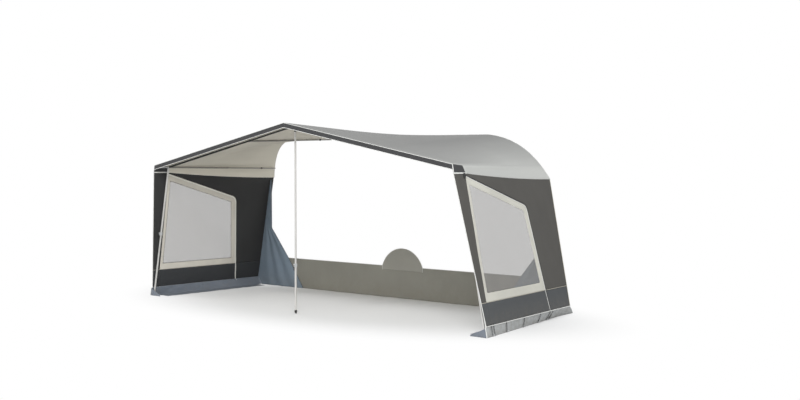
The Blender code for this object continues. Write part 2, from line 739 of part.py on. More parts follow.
def make_window(side):
    sign = SIDES[side]
    pivot = window_pivot(side)
    corners = window_corners()
    borders = (WINDOW_BOTTOM_BORDER, WINDOW_REAR_BORDER, WINDOW_TOP_BORDER, WINDOW_FRONT_BORDER)
    knee = ZIP_CORNER_RADIUS - ZIP_WIDTH / 2 - GAP
    outer = rounded(corners, (PANEL_CORNER_RADIUS, PANEL_CORNER_RADIUS, knee, PANEL_CORNER_RADIUS))
    inner = rounded(inset(corners, borders), (WINDOW_CORNER_RADIUS,) * 4)
    levels = ((outer, 0.0), (outer, FABRIC), (inner, FABRIC), (inner, 0.0))
    frame = loft([wall_outline(sign, line, depth) for line, depth in levels], loop=True)
    add_piece(f"window_frame_{side}", frame, "window_cloth", pivot)
    lapped = [border - FOIL_LAP for border in borders]
    pane = rounded(inset(corners, lapped), (WINDOW_CORNER_RADIUS,) * 4)
    wall_panel(f"window_foil_{side}", sign, pane, "clear_foil", FOIL, FABRIC + GAP, pivot)
    top = WINDOW_SEAM_HEIGHT - SEAM
    inside = -ZIP_WIDTH / 2 - GAP
    lower = [
        (hinge_y(FLAP_HEIGHT) + SEAM / 2, FLAP_HEIGHT),
        zip_line(inside)[-1],
        zip_line(inside, top)[-1],
        (hinge_y(top) + SEAM / 2, top),
    ]
    wall_panel(f"window_lower_panel_{side}", sign, lower, "lower_cloth", pivot=pivot)


def make_zip(side):
    """The zip's chain round the window panel and its slider with a pull tab."""
    sign = SIDES[side]
    rings = []
    for a, b in zip(zip_line(ZIP_WIDTH / 2), zip_line(-ZIP_WIDTH / 2)):
        rings.append(wall_outline(sign, (a, b)) + wall_outline(sign, (b, a), FABRIC))
    add_piece(f"zip_chain_{side}", loft(rings), "piping")
    knee, foot = zip_corners()[1:]
    top, bottom = wall_point(sign, *knee), wall_point(sign, *foot)
    up = (top - bottom).normalized()
    normal = wall_normal(sign)
    axes = Axes(bottom + up * SLIDER_REST + normal * GAP, up, normal)
    half = ZIP_WIDTH / 2 - GAP

    def ring(along, half_width, thickness):
        return [axes.at(x, y, along) for x, y in (
            (-half_width, 0.0), (half_width, 0.0), (half_width, thickness), (-half_width, thickness))]

    body = [
        ring(-SLIDER_LENGTH / 2 - SLIDER_TAB_LENGTH, SLIDER_TAB_WIDTH / 2, SLIDER_TAB_THICKNESS),
        ring(-SLIDER_LENGTH / 2, SLIDER_TAB_WIDTH / 2, SLIDER_TAB_THICKNESS),
        ring(-SLIDER_LENGTH / 2, half * SLIDER_TAIL_SHARE, SLIDER_THICKNESS),
        ring(0.0, half * SLIDER_TAIL_SHARE, SLIDER_THICKNESS),
        ring(SLIDER_LENGTH / 2, half, SLIDER_THICKNESS * SLIDER_NOSE_SHARE),
    ]
    add_piece(f"zip_slider_{side}", loft(body), "dark_plastic", pivot=tuple(axes.origin))


# Mud flaps

def flap_foot_x(y):
    """Where the curtain of the flap meets the ground."""
    return wall_x(y, 0.0) - FLAP_SETBACK * max(y, 0.0) / DEPTH


def flap_rows():
    """Places along the flap, with how far a peg strap stands proud there."""
    rows = [(0.0, 0.0), (FLAP_LAY_START, 0.0), (FLAP_LAY_END, 0.0)]
    for place_y in STRAP_PLACES:
        half = STRAP_WIDTH / 2
        rows += [(place_y - half, STRAP_PROUD), (place_y + half, STRAP_PROUD)]
        rows += [(place_y - half - STRAP_SLOPE, 0.0), (place_y + half + STRAP_SLOPE, 0.0)]
    return sorted(rows)


def make_mud_flap(side):
    """A curtain from the wall to the ground, its edge turned inwards, with pegging tabs at both ends."""
    sign = SIDES[side]
    normal = wall_normal(sign)
    top = FLAP_HEIGHT - 3 * SEAM
    outer, inner = [], []

    def add_row(high, low, laid, high_in, low_in, laid_in):
        outer.append([Vector((sign * x, y, z)) for x, y, z in (high, low, laid)])
        inner.append([Vector((sign * x, y, z)) for x, y, z in (high_in, low_in, laid_in)])

    front = -WING_FRONT - FABRIC
    back = -WING_FRONT
    tip = flap_foot_x(front) - WING_REACH
    add_row((tip, front, WING_TIP_HEIGHT), (tip, front, 0.0), (tip, front, 0.0),
            (tip, back, WING_TIP_HEIGHT), (tip, back, 0.0), (tip, back, 0.0))
    high = wall_x(front, WING_HEIGHT)
    low = wall_x(front, 0.0)
    add_row((high, front, WING_HEIGHT), (low, front, 0.0), (low, front, 0.0),
            (high - FABRIC, back, WING_HEIGHT), (low - FABRIC, back, 0.0), (low - FABRIC, back, 0.0))
    for y, proud in flap_rows():
        low = flap_foot_x(y)
        laid = wall_x(y, 0.0) - FLAP_REACH
        add_row((wall_x(y, top) + proud, y, top), (low + proud, y, 0.0), (laid, y, 0.0),
                (wall_x(y, top) - FABRIC, y, top), (low - FABRIC, y, FABRIC), (laid, y, FABRIC))
    low = wall_x(REARMOST, 0.0) - TAIL_SETBACK
    high = wall_x(DEPTH, top)
    add_row((high, DEPTH, top), (low, REARMOST, 0.0), (low, REARMOST, 0.0),
            (high - FABRIC, DEPTH, top), (low - FABRIC, REARMOST, 0.0), (low - FABRIC, REARMOST, 0.0))
    cells = []
    for i, (a, b) in enumerate(zip(outer, outer[1:])):
        cells.append((i, 0))
        if a[0].y >= FLAP_LAY_START and b[0].y <= FLAP_LAY_END:
            cells.append((i, 1))
    return add_piece(f"mud_flap_{side}", shell(outer, inner, cells), "mud_cloth")


# Closures at the rear

def seal_outer_x(y, z):
    """Inner face of the wall and of the flap under it, where the sealing flap ends."""
    if z >= FLAP_HEIGHT:
        return wall_x(y, z) - FABRIC - SEAM
    return lerp(flap_foot_x(y), wall_x(y, FLAP_HEIGHT), z / FLAP_HEIGHT) - FABRIC - SEAL_FOOT_INSET


def seal_free_x(z):
    base = DEPTH - SEAL_SETBACK
    foot = seal_outer_x(base, 0.0) - SEAL_FOOT_WIDTH
    knee = seal_outer_x(base, SEAL_KNEE_HEIGHT) - SEAL_KNEE_WIDTH
    bend = seal_outer_x(base, SEAL_TOP_HEIGHT) - SEAL_TOP_WIDTH
    places = ((0.0, foot), (SEAL_KNEE_HEIGHT, knee), (SEAL_BEND_HEIGHT, bend), (SEAL_TOP_HEIGHT, bend))
    for (low, a), (high, b) in zip(places, places[1:]):
        if z <= high:
            return lerp(a, b, (z - low) / (high - low))
    return bend


def make_sealing_flap(side):
    """The folded sheet that closes the gap behind a wall's rear edge."""
    sign = SIDES[side]
    base = DEPTH - SEAL_SETBACK
    heights = [SEAL_TOP_HEIGHT * share for share in SEAL_ROW_SHARES]
    heights = sorted(heights + [FLAP_HEIGHT, SEAL_KNEE_HEIGHT, SEAL_BEND_HEIGHT])
    front, back = [], []
    for z in heights:
        outside, free = seal_outer_x(base, z), seal_free_x(z)
        front.append([])
        back.append([])
        for k in range(SEAL_COLUMNS + 1):
            t = k / SEAL_COLUMNS
            wave = math.sin(2 * math.pi * (SEAL_FOLDS + SEAL_HEM_SHARE) * t)
            depth = SEAL_FOLD_DEPTH * wave * min(1.0, SEAL_FOLDS * t)
            depth *= min(1.0, (outside - free) / SEAL_FULL_WIDTH)
            x = sign * lerp(outside, free, t)
            front[-1].append(Vector((x, base + depth, z)))
            back[-1].append(Vector((x, base + depth + FABRIC, z)))
    cells = [(i, j) for i in range(len(front) - 1) for j in range(SEAL_COLUMNS)]
    return add_piece(f"sealing_flap_{side}", shell(front, back, cells), "seal_cloth", smooth=True)


def make_draught_skirt():
    """The strip from the lower rail to the ground, with a beaded top edge."""
    half_length = seal_free_x(SEAL_KNEE_HEIGHT) + SKIRT_LAP
    hem = SKIRT_HEIGHT - 2 * SKIRT_HEM_RADIUS
    rows = [(SKIRT_HEIGHT, SKIRT_HEM_RADIUS), (hem, SKIRT_HEM_RADIUS), (hem - SKIRT_HEM_RADIUS, FABRIC / 2)]
    rows += [(SKIRT_HEIGHT * share, FABRIC / 2) for share in SKIRT_ROW_SHARES]
    front, back = [], []
    for z, half in rows:
        front.append([])
        back.append([])
        for k in range(SKIRT_COLUMNS + 1):
            x = lerp(-half_length, half_length, k / SKIRT_COLUMNS)
            wave = math.cos(2 * math.pi * SKIRT_FOLDS * k / SKIRT_COLUMNS)
            wave *= max(0.0, min(1.0, (half_length - abs(x)) / SKIRT_FLAT_LENGTH - 1.0))
            y = SKIRT_PLACE + SKIRT_FOLD_DEPTH * wave * (1.0 - z / SKIRT_HEIGHT)
            front[-1].append(Vector((x, y - half, z)))
            back[-1].append(Vector((x, y + half, z)))
    cells = [(i, j) for i in range(len(rows) - 1) for j in range(SKIRT_COLUMNS)]
    return add_piece("draught_skirt", shell(front, back, cells), "skirt_cloth", smooth=True)


def make_wheel_arch_cover():
    """The bow-shaped apron sewn to the skirt."""
    rise = ARCH_TOP_HEIGHT - SKIRT_HEIGHT
    radius = (ARCH_HALF_WIDTH ** 2 + rise ** 2) / (2 * rise)
    middle = ARCH_TOP_HEIGHT - radius
    opening = math.asin(ARCH_HALF_WIDTH / radius)
    outline = [(ARCH_PLACE - ARCH_HALF_WIDTH, SKIRT_HEIGHT - ARCH_LAP)]
    for k in range(ARCH_STEPS + 1):
        turn = lerp(-opening, opening, k / ARCH_STEPS)
        outline.append((ARCH_PLACE + radius * math.sin(turn), middle + radius * math.cos(turn)))
    outline.append((ARCH_PLACE + ARCH_HALF_WIDTH, SKIRT_HEIGHT - ARCH_LAP))
    back = SKIRT_PLACE - SKIRT_HEM_RADIUS - GAP
    rings = [[Vector((x, y, z)) for x, z in outline] for y in (back - FABRIC, back)]
    return add_piece("wheel_arch_cover", loft(rings), "skirt_cloth")


# Lines of the pole frame

def slope_line(side):
    """Axis of a front slope pole: a point at the peak and its direction to the corner, in x and z."""
    a = roof_point(side, 0, 0.0)
    b = roof_point(side, SLOPE_MARK, 0.0)
    u = Vector((abs(b.x) - a.x, b.z - a.z)).normalized()
    drop = FABRIC + SLOPE_CLEARANCE + SLOPE_RADIUS
    return (a.x + u.y * drop, a.z - u.x * drop), (u.x, u.y)


def peak_centre():
    x, z = crossing(*slope_line("right"), (0.0, 0.0), (0.0, 1.0))
    return Vector((x, 0.0, z))


def corner_centre(side):
    x, z = crossing(*slope_line(side), (GROUND_HALF_WIDTH - LEG_INSET, 0.0), (-WALL_LEAN, EAVE_HEIGHT))
    return Vector((SIDES[side] * x, 0.0, z))


def leg_axes(side):
    sign = SIDES[side]
    return Axes((sign * (GROUND_HALF_WIDTH - LEG_INSET), 0.0, 0.0), (-sign * WALL_LEAN, 0.0, EAVE_HEIGHT))


def slope_axes(side):
    start = corner_centre(side)
    return Axes(start, peak_centre() - start)


def rail_seat(side, index, drop):
    """A place under the roof's rear edge, a drop away from its outer face."""
    a = roof_point(side, index - 1, DEPTH) if index else roof_point("left", 1, DEPTH)
    b = roof_point(side, index + 1, DEPTH)
    sign = SIDES[side] if index else 1
    normal = (b - a).cross(Vector((0.0, sign, 0.0))).normalized()
    return roof_point(side, index, DEPTH) - normal * drop


def rafter_axes(name):
    drop = FABRIC + POLE_CLEARANCE + RAFTER_COLLAR_RADIUS
    if name == "ridge":
        start, end = peak_centre(), rail_seat("right", 0, drop)
    else:
        side, kind = name.split("_")
        if kind == "corner":
            start, end = corner_centre(side), rail_seat(side, len(MAIN_REAR_SHARES), HIP_POLE_DROP)
        else:
            mark = roof_point(side, MID_POLE_PLACE, 0.0)
            x, z = crossing(*slope_line(side), (abs(mark.x), mark.z), (0.0, 1.0))
            start, end = Vector((SIDES[side] * x, 0.0, z)), rail_seat(side, MID_POLE_PLACE, drop)
    return Axes(start, end - start, (1.0, 0.0, 0.0)), (end - start).length


RAFTERS = ("left_corner", "left_middle", "ridge", "right_middle", "right_corner")


# Joints of the frame

def rod(name, axes, profile, sides=ROUND_SIDES):
    """A solid to be joined to another piece; not a piece itself."""
    return place(name, finish_mesh(name, turned(axes, profile, sides), MADE["joint_plastic"]))


def arm_rod(name, centre):
    """The arm that carries the roof's front corner or peak."""
    axes = Axes(centre, (0.0, -1.0, 0.0), (1.0, 0.0, 0.0))
    length = OVERHANG + PIPING_RADIUS - FABRIC / 2
    profile = [(0.0, ARM_RADIUS), (length - ARM_ROUND, ARM_RADIUS), (length, ARM_RADIUS - ARM_ROUND)]
    return rod(name, axes, profile)


def rafter_rod(name, rafter):
    axes, _ = rafter_axes(rafter)
    spigot = RAFTER_RADIUS - TUBE_WALL - SPIGOT_PLAY
    reach = JOINT_REACH - GAP
    end = JOINT_REACH + SPIGOT_LENGTH
    profile = [(0.0, RAFTER_RADIUS), (reach, RAFTER_RADIUS), (reach, spigot), (end, spigot)]
    return rod(name, axes, profile, THIN_SIDES)


def make_corner_joint(side):
    leg, slope = leg_axes(side), slope_axes(side)
    centre = corner_centre(side)
    leg.origin = centre
    bend = Axes(centre, leg.z + slope.z)
    reach = JOINT_REACH - GAP
    leg_spigot = LEG_RADIUS - TUBE_WALL - SPIGOT_PLAY
    slope_spigot = SLOPE_RADIUS - TUBE_WALL - SPIGOT_PLAY
    rings = [
        leg.circle(-JOINT_REACH - SPIGOT_LENGTH, leg_spigot),
        leg.circle(-reach, leg_spigot),
        leg.circle(-reach, LEG_RADIUS),
        bend.circle(0.0, (LEG_RADIUS + SLOPE_RADIUS) / 2),
        slope.circle(reach, SLOPE_RADIUS),
        slope.circle(reach, slope_spigot),
        slope.circle(JOINT_REACH + SPIGOT_LENGTH, slope_spigot),
    ]
    joint = add_piece(f"corner_joint_{side}", loft(rings), "joint_plastic", smooth=True)
    boolean(joint, arm_rod(f"arm_{side}", centre), "UNION")
    boolean(joint, rafter_rod(f"rear_spigot_{side}", f"{side}_corner"), "UNION")


def make_peak_joint():
    centre = peak_centre()
    run = slope_axes("left").z
    left = Axes(centre, run)
    right = Axes(centre, (run.x, 0.0, -run.z))
    level = Axes(centre, (1.0, 0.0, 0.0))
    reach = JOINT_REACH - GAP
    spigot = SLOPE_INNER_RADIUS - TUBE_WALL - SPIGOT_PLAY
    rings = [
        left.circle(-JOINT_REACH - SPIGOT_LENGTH, spigot),
        left.circle(-reach, spigot),
        left.circle(-reach, SLOPE_INNER_RADIUS),
        level.circle(0.0, SLOPE_INNER_RADIUS),
        right.circle(reach, SLOPE_INNER_RADIUS),
        right.circle(reach, spigot),
        right.circle(JOINT_REACH + SPIGOT_LENGTH, spigot),
    ]
    joint = add_piece("peak_joint", loft(rings), "dark_plastic", smooth=True)
    down = Axes(centre, (0.0, 0.0, -1.0))
    spigot = LEG_INNER_RADIUS - TUBE_WALL - SPIGOT_PLAY
    sleeve = PEAK_SLEEVE - GAP
    end = PEAK_SLEEVE + SPIGOT_LENGTH
    neck = [(0.0, LEG_INNER_RADIUS), (sleeve, LEG_RADIUS), (sleeve, spigot), (end, spigot)]
    boolean(joint, rod("peak_sleeve", down, neck), "UNION")
    boolean(joint, arm_rod("arm_peak", centre), "UNION")
    boolean(joint, rafter_rod("rear_spigot_peak", "ridge"), "UNION")


# Poles

def make_slope_pole(side):
    axes = slope_axes(side)
    length = (peak_centre() - axes.origin).length
    outer = tube(axes, JOINT_REACH, SLOPE_OUTER_LENGTH, SLOPE_RADIUS)
    add_piece(f"slope_pole_outer_{side}", outer, "pole_steel", smooth=True)
    start = SLOPE_OUTER_LENGTH - SLOPE_OVERLAP
    inner = tube(axes, start, length - JOINT_REACH, SLOPE_INNER_RADIUS)
    add_piece(f"slope_pole_inner_{side}", inner, "pole_steel", tuple(axes.at(0.0, 0.0, start)), smooth=True)


def make_rafter(name):
    axes, length = rafter_axes(name)
    bore = RAFTER_RADIUS - TUBE_WALL
    middle = name.endswith("middle")
    start = SLOPE_INNER_RADIUS * SADDLE_SHARE if middle else JOINT_REACH
    end = RAFTER_OUTER_LENGTH
    collar = end - RAFTER_COLLAR_LENGTH
    profile = [(start, RAFTER_RADIUS), (collar, RAFTER_RADIUS), (collar, RAFTER_COLLAR_RADIUS),
               (end, RAFTER_COLLAR_RADIUS), (end, bore), (start, bore)]
    body = turned(axes, profile, THIN_SIDES, loop=True)
    outer = add_piece(f"roof_pole_outer_{name}", body, "pole_steel", smooth=True)
    if middle:
        side = name.split("_")[0]
        seat = Axes(axes.origin, slope_axes(side).z)
        reach = RAFTER_COLLAR_LENGTH
        cut = [(-reach, SLOPE_INNER_RADIUS + GAP), (reach, SLOPE_INNER_RADIUS + GAP)]
        boolean(outer, rod(f"saddle_{name}", seat, cut), "DIFFERENCE")
    start = RAFTER_OUTER_LENGTH - RAFTER_OVERLAP
    tip = length - HOOK_END_GAP
    root = tip - HOOK_LENGTH
    bore = RAFTER_INNER_RADIUS - TUBE_WALL
    rings = [
        axes.circle(root - HOOK_NECK, bore, THIN_SIDES),
        axes.circle(start, bore, THIN_SIDES),
        axes.circle(start, RAFTER_INNER_RADIUS, THIN_SIDES),
        axes.circle(root, RAFTER_INNER_RADIUS, THIN_SIDES),
        axes.plate(root + HOOK_NECK, HOOK_HALF_WIDTH, HOOK_HALF_THICKNESS, THIN_SIDES),
        axes.plate(tip, HOOK_HALF_WIDTH, HOOK_HALF_THICKNESS, THIN_SIDES),
    ]
    pivot = tuple(axes.at(0.0, 0.0, start))
    add_piece(f"roof_pole_inner_{name}", loft(rings), "pole_steel", pivot, smooth=True)


def clamp_along():
    """How far up a leaning leg its clamp sits."""
    return LEG_CLAMP_HEIGHT * math.hypot(1.0, WALL_LEAN / EAVE_HEIGHT)


def make_corner_leg(side):
    axes = leg_axes(side)
    top = (corner_centre(side) - axes.origin).length - JOINT_REACH
    clamp = clamp_along()
    upper = tube(axes, clamp, top, LEG_RADIUS)
    add_piece(f"leg_upper_tube_{side}", upper, "pole_steel", smooth=True)
    foot = tuple(axes.at(0.0, 0.0, FOOT_SOCKET + GAP))
    lower = tube(axes, FOOT_SOCKET + GAP, clamp + LEG_OVERLAP, LEG_INNER_RADIUS)
    add_piece(f"leg_lower_tube_{side}", lower, "pole_steel", foot, smooth=True)
    centre = axes.at(0.0, 0.0, FOOT_HEIGHT / 2)
    upright = Axes((centre.x, 0.0, 0.0), (0.0, 0.0, 1.0))
    profile = [(0.0, FOOT_RADIUS), (FOOT_RIM, FOOT_RADIUS), (FOOT_HEIGHT, FOOT_NECK_RADIUS)]
    pad = add_piece(f"leg_foot_{side}", turned(upright, profile), "dark_plastic", foot, smooth=True)
    socket = [(FOOT_SOCKET, LEG_INNER_RADIUS + GAP), (2 * FOOT_HEIGHT, LEG_INNER_RADIUS + GAP)]
    boolean(pad, rod(f"foot_socket_{side}", axes, socket), "DIFFERENCE")
    lean = -SIDES[side] * math.atan2(WALL_LEAN, EAVE_HEIGHT)
    make_clamp(f"leg_{side}", axes, clamp - CLAMP_LIP, lean)


def make_centre_pole():
    axes = Axes((0.0, 0.0, 0.0), (0.0, 0.0, 1.0))
    upper_start = CENTRE_CLAMP_HEIGHT - CENTRE_OVERLAP
    upper = tube(axes, upper_start, peak_centre().z - PEAK_SLEEVE, LEG_INNER_RADIUS)
    add_piece("centre_pole_upper_tube", upper, "pole_steel", smooth=True)
    lower = tube(axes, TIP_STOP, CENTRE_CLAMP_HEIGHT, LEG_RADIUS)
    add_piece("centre_pole_lower_tube", lower, "pole_steel", smooth=True)
    socket = LEG_RADIUS + GAP
    profile = [(0.0, TIP_RADIUS), (TIP_STOP - CLAMP_LIP, TIP_COLLAR_RADIUS), (TIP_LENGTH, TIP_COLLAR_RADIUS),
               (TIP_LENGTH, socket), (TIP_STOP - GAP, socket)]
    add_piece("centre_pole_tip", turned(axes, profile), "dark_plastic", smooth=True)
    make_clamp("centre", axes, CENTRE_CLAMP_HEIGHT - CLAMP_HEIGHT + CLAMP_LIP, 0.0)


# Clamps

def clamp_collar_mesh():
    """A collar with two ears, drawn round the z axis with the ears towards -y."""
    reach = PIN_PLACE + CLAMP_EAR
    lug = CLAMP_LUG_HALF_WIDTH
    bore = LEG_RADIUS + GAP
    shoulder = math.sqrt(CLAMP_RADIUS ** 2 - lug ** 2)
    turns = [2 * math.pi * k / ROUND_SIDES - math.pi / 2 for k in range(ROUND_SIDES)]
    outer = [(CLAMP_RADIUS * math.cos(turn), CLAMP_RADIUS * math.sin(turn)) for turn in turns]
    outer[-2:] = [(-lug, -shoulder), (-lug, -reach)]
    outer[:3] = [(0.0, -reach), (lug, -reach), (lug, -shoulder)]
    inner = [(bore * math.cos(turn), bore * math.sin(turn)) for turn in turns]
    levels = ((outer, 0.0), (outer, CLAMP_HEIGHT), (inner, CLAMP_HEIGHT), (inner, 0.0))
    rings = [[(x, y, z) for x, y in line] for line, z in levels]
    form = finish_mesh("collar_form", loft(rings, loop=True), MADE["joint_plastic"], smooth=True)
    collar = place("collar_form", form)
    floor = CLAMP_RADIUS + GAP
    half = CLAMP_SLOT_HALF_WIDTH
    slot = [[(x, y, z) for x, y in ((-half, -2 * reach), (half, -2 * reach), (half, -floor), (-half, -floor))]
            for z in (-CLAMP_HEIGHT, 2 * CLAMP_HEIGHT)]
    cutter = place("slot_form", finish_mesh("slot_form", loft(slot), MADE["joint_plastic"]))
    pin = Axes((0.0, -PIN_PLACE, CLAMP_HEIGHT / 2), (1.0, 0.0, 0.0))
    hole = [(-reach, PIN_RADIUS + PIN_PLAY), (reach, PIN_RADIUS + PIN_PLAY)]
    drill = rod("pin_hole_form", pin, hole, THIN_SIDES)
    boolean(collar, cutter, "DIFFERENCE")
    boolean(collar, drill, "DIFFERENCE")
    return settle(collar, (cutter, drill))


def clamp_lever_mesh():
    """A lever with its pin, drawn round the pin's axis, its handle down."""
    span = math.hypot(LEVER_LENGTH, LEVER_OFFSET)
    down = math.atan2(-LEVER_LENGTH, -LEVER_OFFSET)
    spread = math.acos((LEVER_HEAD_RADIUS - LEVER_TIP_RADIUS) / span)
    outline = []
    for k in range(LEVER_STEPS + 1):
        turn = lerp(down + spread, down + 2 * math.pi - spread, k / LEVER_STEPS)
        outline.append((LEVER_HEAD_RADIUS * math.cos(turn), LEVER_HEAD_RADIUS * math.sin(turn)))
    for k in range(LEVER_STEPS + 1):
        turn = lerp(down - spread, down + spread, k / LEVER_STEPS)
        across = LEVER_TIP_RADIUS * math.cos(turn) - LEVER_OFFSET
        outline.append((across, LEVER_TIP_RADIUS * math.sin(turn) - LEVER_LENGTH))
    half = CLAMP_SLOT_HALF_WIDTH - LEVER_SIDE_PLAY
    rings = [[(x, y, z) for y, z in outline] for x in (-half, half)]
    lever = place("lever_form", finish_mesh("lever_form", loft(rings), MADE["dark_plastic"], smooth=True))
    reach = CLAMP_LUG_HALF_WIDTH - PIN_REACH_IN
    axes = Axes((0.0, 0.0, 0.0), (1.0, 0.0, 0.0))
    pin = rod("pin_form", axes, [(-reach, PIN_RADIUS), (reach, PIN_RADIUS)], THIN_SIDES)
    boolean(lever, pin, "UNION")
    return settle(lever, (pin,))


def settle(thing, helpers):
    """The finished mesh of an object, whose helpers are then removed with it."""
    bpy.context.view_layer.update()
    graph = bpy.context.evaluated_depsgraph_get()
    mesh = bpy.data.meshes.new_from_object(thing.evaluated_get(graph))
    for old in (thing, *helpers):
        bpy.data.objects.remove(old, do_unlink=True)
    return mesh


def make_clamp(name, axes, along, lean):
    place(f"{name}_clamp_collar", COLLAR_MESH, tuple(axes.at(0.0, 0.0, along)), lean)
    pin = axes.at(0.0, -PIN_PLACE, along + CLAMP_HEIGHT / 2)
    place(f"{name}_clamp_lever", LEVER_MESH, tuple(pin), lean)


clear_scene()
MADE = make_materials()
CARRIER = make_carrier()
COLLAR_MESH = clamp_collar_mesh()
LEVER_MESH = clamp_lever_mesh()

make_roof()
make_keder()
for side_name in SIDES:
    make_fascia(side_name)
    make_corner_return(side_name)
    make_front_strip(side_name)
    make_rear_wall(side_name)
    make_rear_lower_panel(side_name)
    make_window(side_name)
    make_zip(side_name)
    make_mud_flap(side_name)
    make_sealing_flap(side_name)
    make_corner_joint(side_name)
    make_slope_pole(side_name)
    make_corner_leg(side_name)
make_draught_skirt()
make_wheel_arch_cover()
make_peak_joint()
make_centre_pole()
for rafter_name in RAFTERS:
    make_rafter(rafter_name)
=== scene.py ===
"""Dressed caravan awning: cloth, foil, seams, zips, pegging ladders and finishes over its packed pole frame.

Shapes are drawn in the maker's own frame: zero in the middle of the front legs' line, on the ground, +X to the
right seen from the open front, +Y towards the rail. Each finished mesh is then moved back by ORIGIN_SHIFT.
"""
import json
import math

import bmesh
import bpy
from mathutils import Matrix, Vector, noise

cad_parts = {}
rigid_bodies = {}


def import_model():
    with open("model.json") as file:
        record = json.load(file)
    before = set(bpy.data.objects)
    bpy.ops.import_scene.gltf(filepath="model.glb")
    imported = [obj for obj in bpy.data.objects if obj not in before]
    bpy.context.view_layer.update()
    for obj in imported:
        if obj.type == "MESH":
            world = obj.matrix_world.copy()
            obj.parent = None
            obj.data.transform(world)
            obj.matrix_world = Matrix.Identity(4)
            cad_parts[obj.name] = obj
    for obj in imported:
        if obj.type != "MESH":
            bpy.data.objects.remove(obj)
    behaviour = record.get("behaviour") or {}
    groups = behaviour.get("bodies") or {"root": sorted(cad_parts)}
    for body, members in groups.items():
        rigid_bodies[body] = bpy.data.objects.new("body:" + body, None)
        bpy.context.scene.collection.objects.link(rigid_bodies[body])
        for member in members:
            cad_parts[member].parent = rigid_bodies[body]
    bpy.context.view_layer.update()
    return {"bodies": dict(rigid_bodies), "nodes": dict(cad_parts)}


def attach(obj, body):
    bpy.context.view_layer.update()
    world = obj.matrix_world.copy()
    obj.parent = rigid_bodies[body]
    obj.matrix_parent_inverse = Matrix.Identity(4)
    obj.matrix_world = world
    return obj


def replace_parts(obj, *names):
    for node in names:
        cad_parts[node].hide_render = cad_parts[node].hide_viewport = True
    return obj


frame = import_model()

# Overall shape, as in the frame
FOOT_HALF_SPAN = 3.30
WALL_TAPER = 0.12
DEPTH = 2.29
OVERHANG = 0.23
EAVE_HEIGHT = 2.01
EAVE_REAR_HEIGHT = 1.92
EAVE_SAG = 0.02
WALL_LEAN = 0.378
PEAK_HEIGHT = 2.72
RIDGE_REAR_HEIGHT = 2.60
CORNER_HEIGHT = 2.13
HIP_HEIGHT = 2.112
HIP_START = 0.0
EAVE_START = 0.060
RAIL_FLAT = {"left": 2.35, "right": 1.75}
RAIL_FLAT_HEIGHT = {"left": 2.58, "right": 2.585}
RAIL_SHOULDER_REACH = {"left": 2.80, "right": 2.42}
RAIL_SHOULDER_HEIGHT = {"left": 2.58, "right": 2.52}
HIP_REAR_HEIGHT = {"left": 2.13, "right": 2.11}
FLAP_TAIL = 0.22
PIPING_RADIUS = 0.0035
SHEET_GAP = 0.0003
ORIGIN_SHIFT = (DEPTH + FLAP_TAIL - OVERHANG - SHEET_GAP - 2 * PIPING_RADIUS) / 2
SIDES = {"left": -1, "right": 1}
TO_FRONT = (0.0, -1.0, 0.0)

# Cloth
CLOTH = 0.0012
FOIL = 0.0006
FASCIA_HEIGHT = 0.072
FRAME_CLOTH = 0.003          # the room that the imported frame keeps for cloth
GROUND_GAP = 0.0004
THREAD = 0.0011              # from one thread of the weave to the next

# Seams and stitches
PANEL_GAP = 0.0005           # from a seam's middle to the panel's edge
WALL_STITCH_RISE = 0.0003
STITCH_RISE = 0.0004
SEAM_ROW = 0.006             # from a seam to its row of stitches
HEM_ROW = 0.010
WIDE_HEM_ROW = 0.012
ROW_END = 0.004              # from the end of a row of stitches to the panel's edge
STITCH = {"Pitch": 0.0075, "Size": (0.0045, 0.0009, 0.0007), "Sides": 5}

# Side wall panels
HINGE_FOOT = 0.09
HINGE_TOP = 0.04
FLAP_HEIGHT = 0.134
WINDOW_SEAM_HEIGHT = 0.417
LOWER_TOP = WINDOW_SEAM_HEIGHT - PANEL_GAP
ZIP_START_DROP = 0.022
ZIP_CORNER = 1.483
ZIP_CORNER_HEIGHT = 1.577
ZIP_FOOT = 1.70
ZIP_CORNER_RADIUS = 0.12
ZIP_WIDTH = 0.014
ZIP_EDGE = ZIP_WIDTH / 2 + SHEET_GAP
WINDOW_BORDERS = (0.110, 0.100, 0.090, 0.055)                # bottom, rear, top and front
WINDOW_CORNER_RADIUS = 0.02
PANEL_CORNER_RADIUS = 0.004
FOIL_LAP = 0.008
FOIL_SETBACK = 0.0004        # inwards of the cloth that it is sewn to
FOIL_HOLLOW = 0.002
WALL_HOLLOW = 0.004

# Mud flaps
FLAP_REACH = 0.32
FLAP_SETBACK = 0.12
FLAP_LAY_START = 0.060
FLAP_LAY_END = 2.12
FLAP_TOP = FLAP_HEIGHT - 0.0015
FLAP_REST = 0.0006           # its laid part, over the ground
WING_REACH = 0.25
WING_FRONT = 0.034
WING_PLACE = -WING_FRONT - CLOTH
WING_HEIGHT = 0.115
WING_TIP_HEIGHT = 0.014
LADDER_PLACES = (0.10, 0.16, 0.48, 0.95, 1.40, 1.67, 1.75)
TAIL_SETBACK = 0.087
FLAP_FOLD = 0.0075
FLAP_WRINKLE = 0.0025
LAID_LIFT = 0.011            # of its laid part, where it ripples
DOWN_STEPS = 14
LAID_STEPS = 14

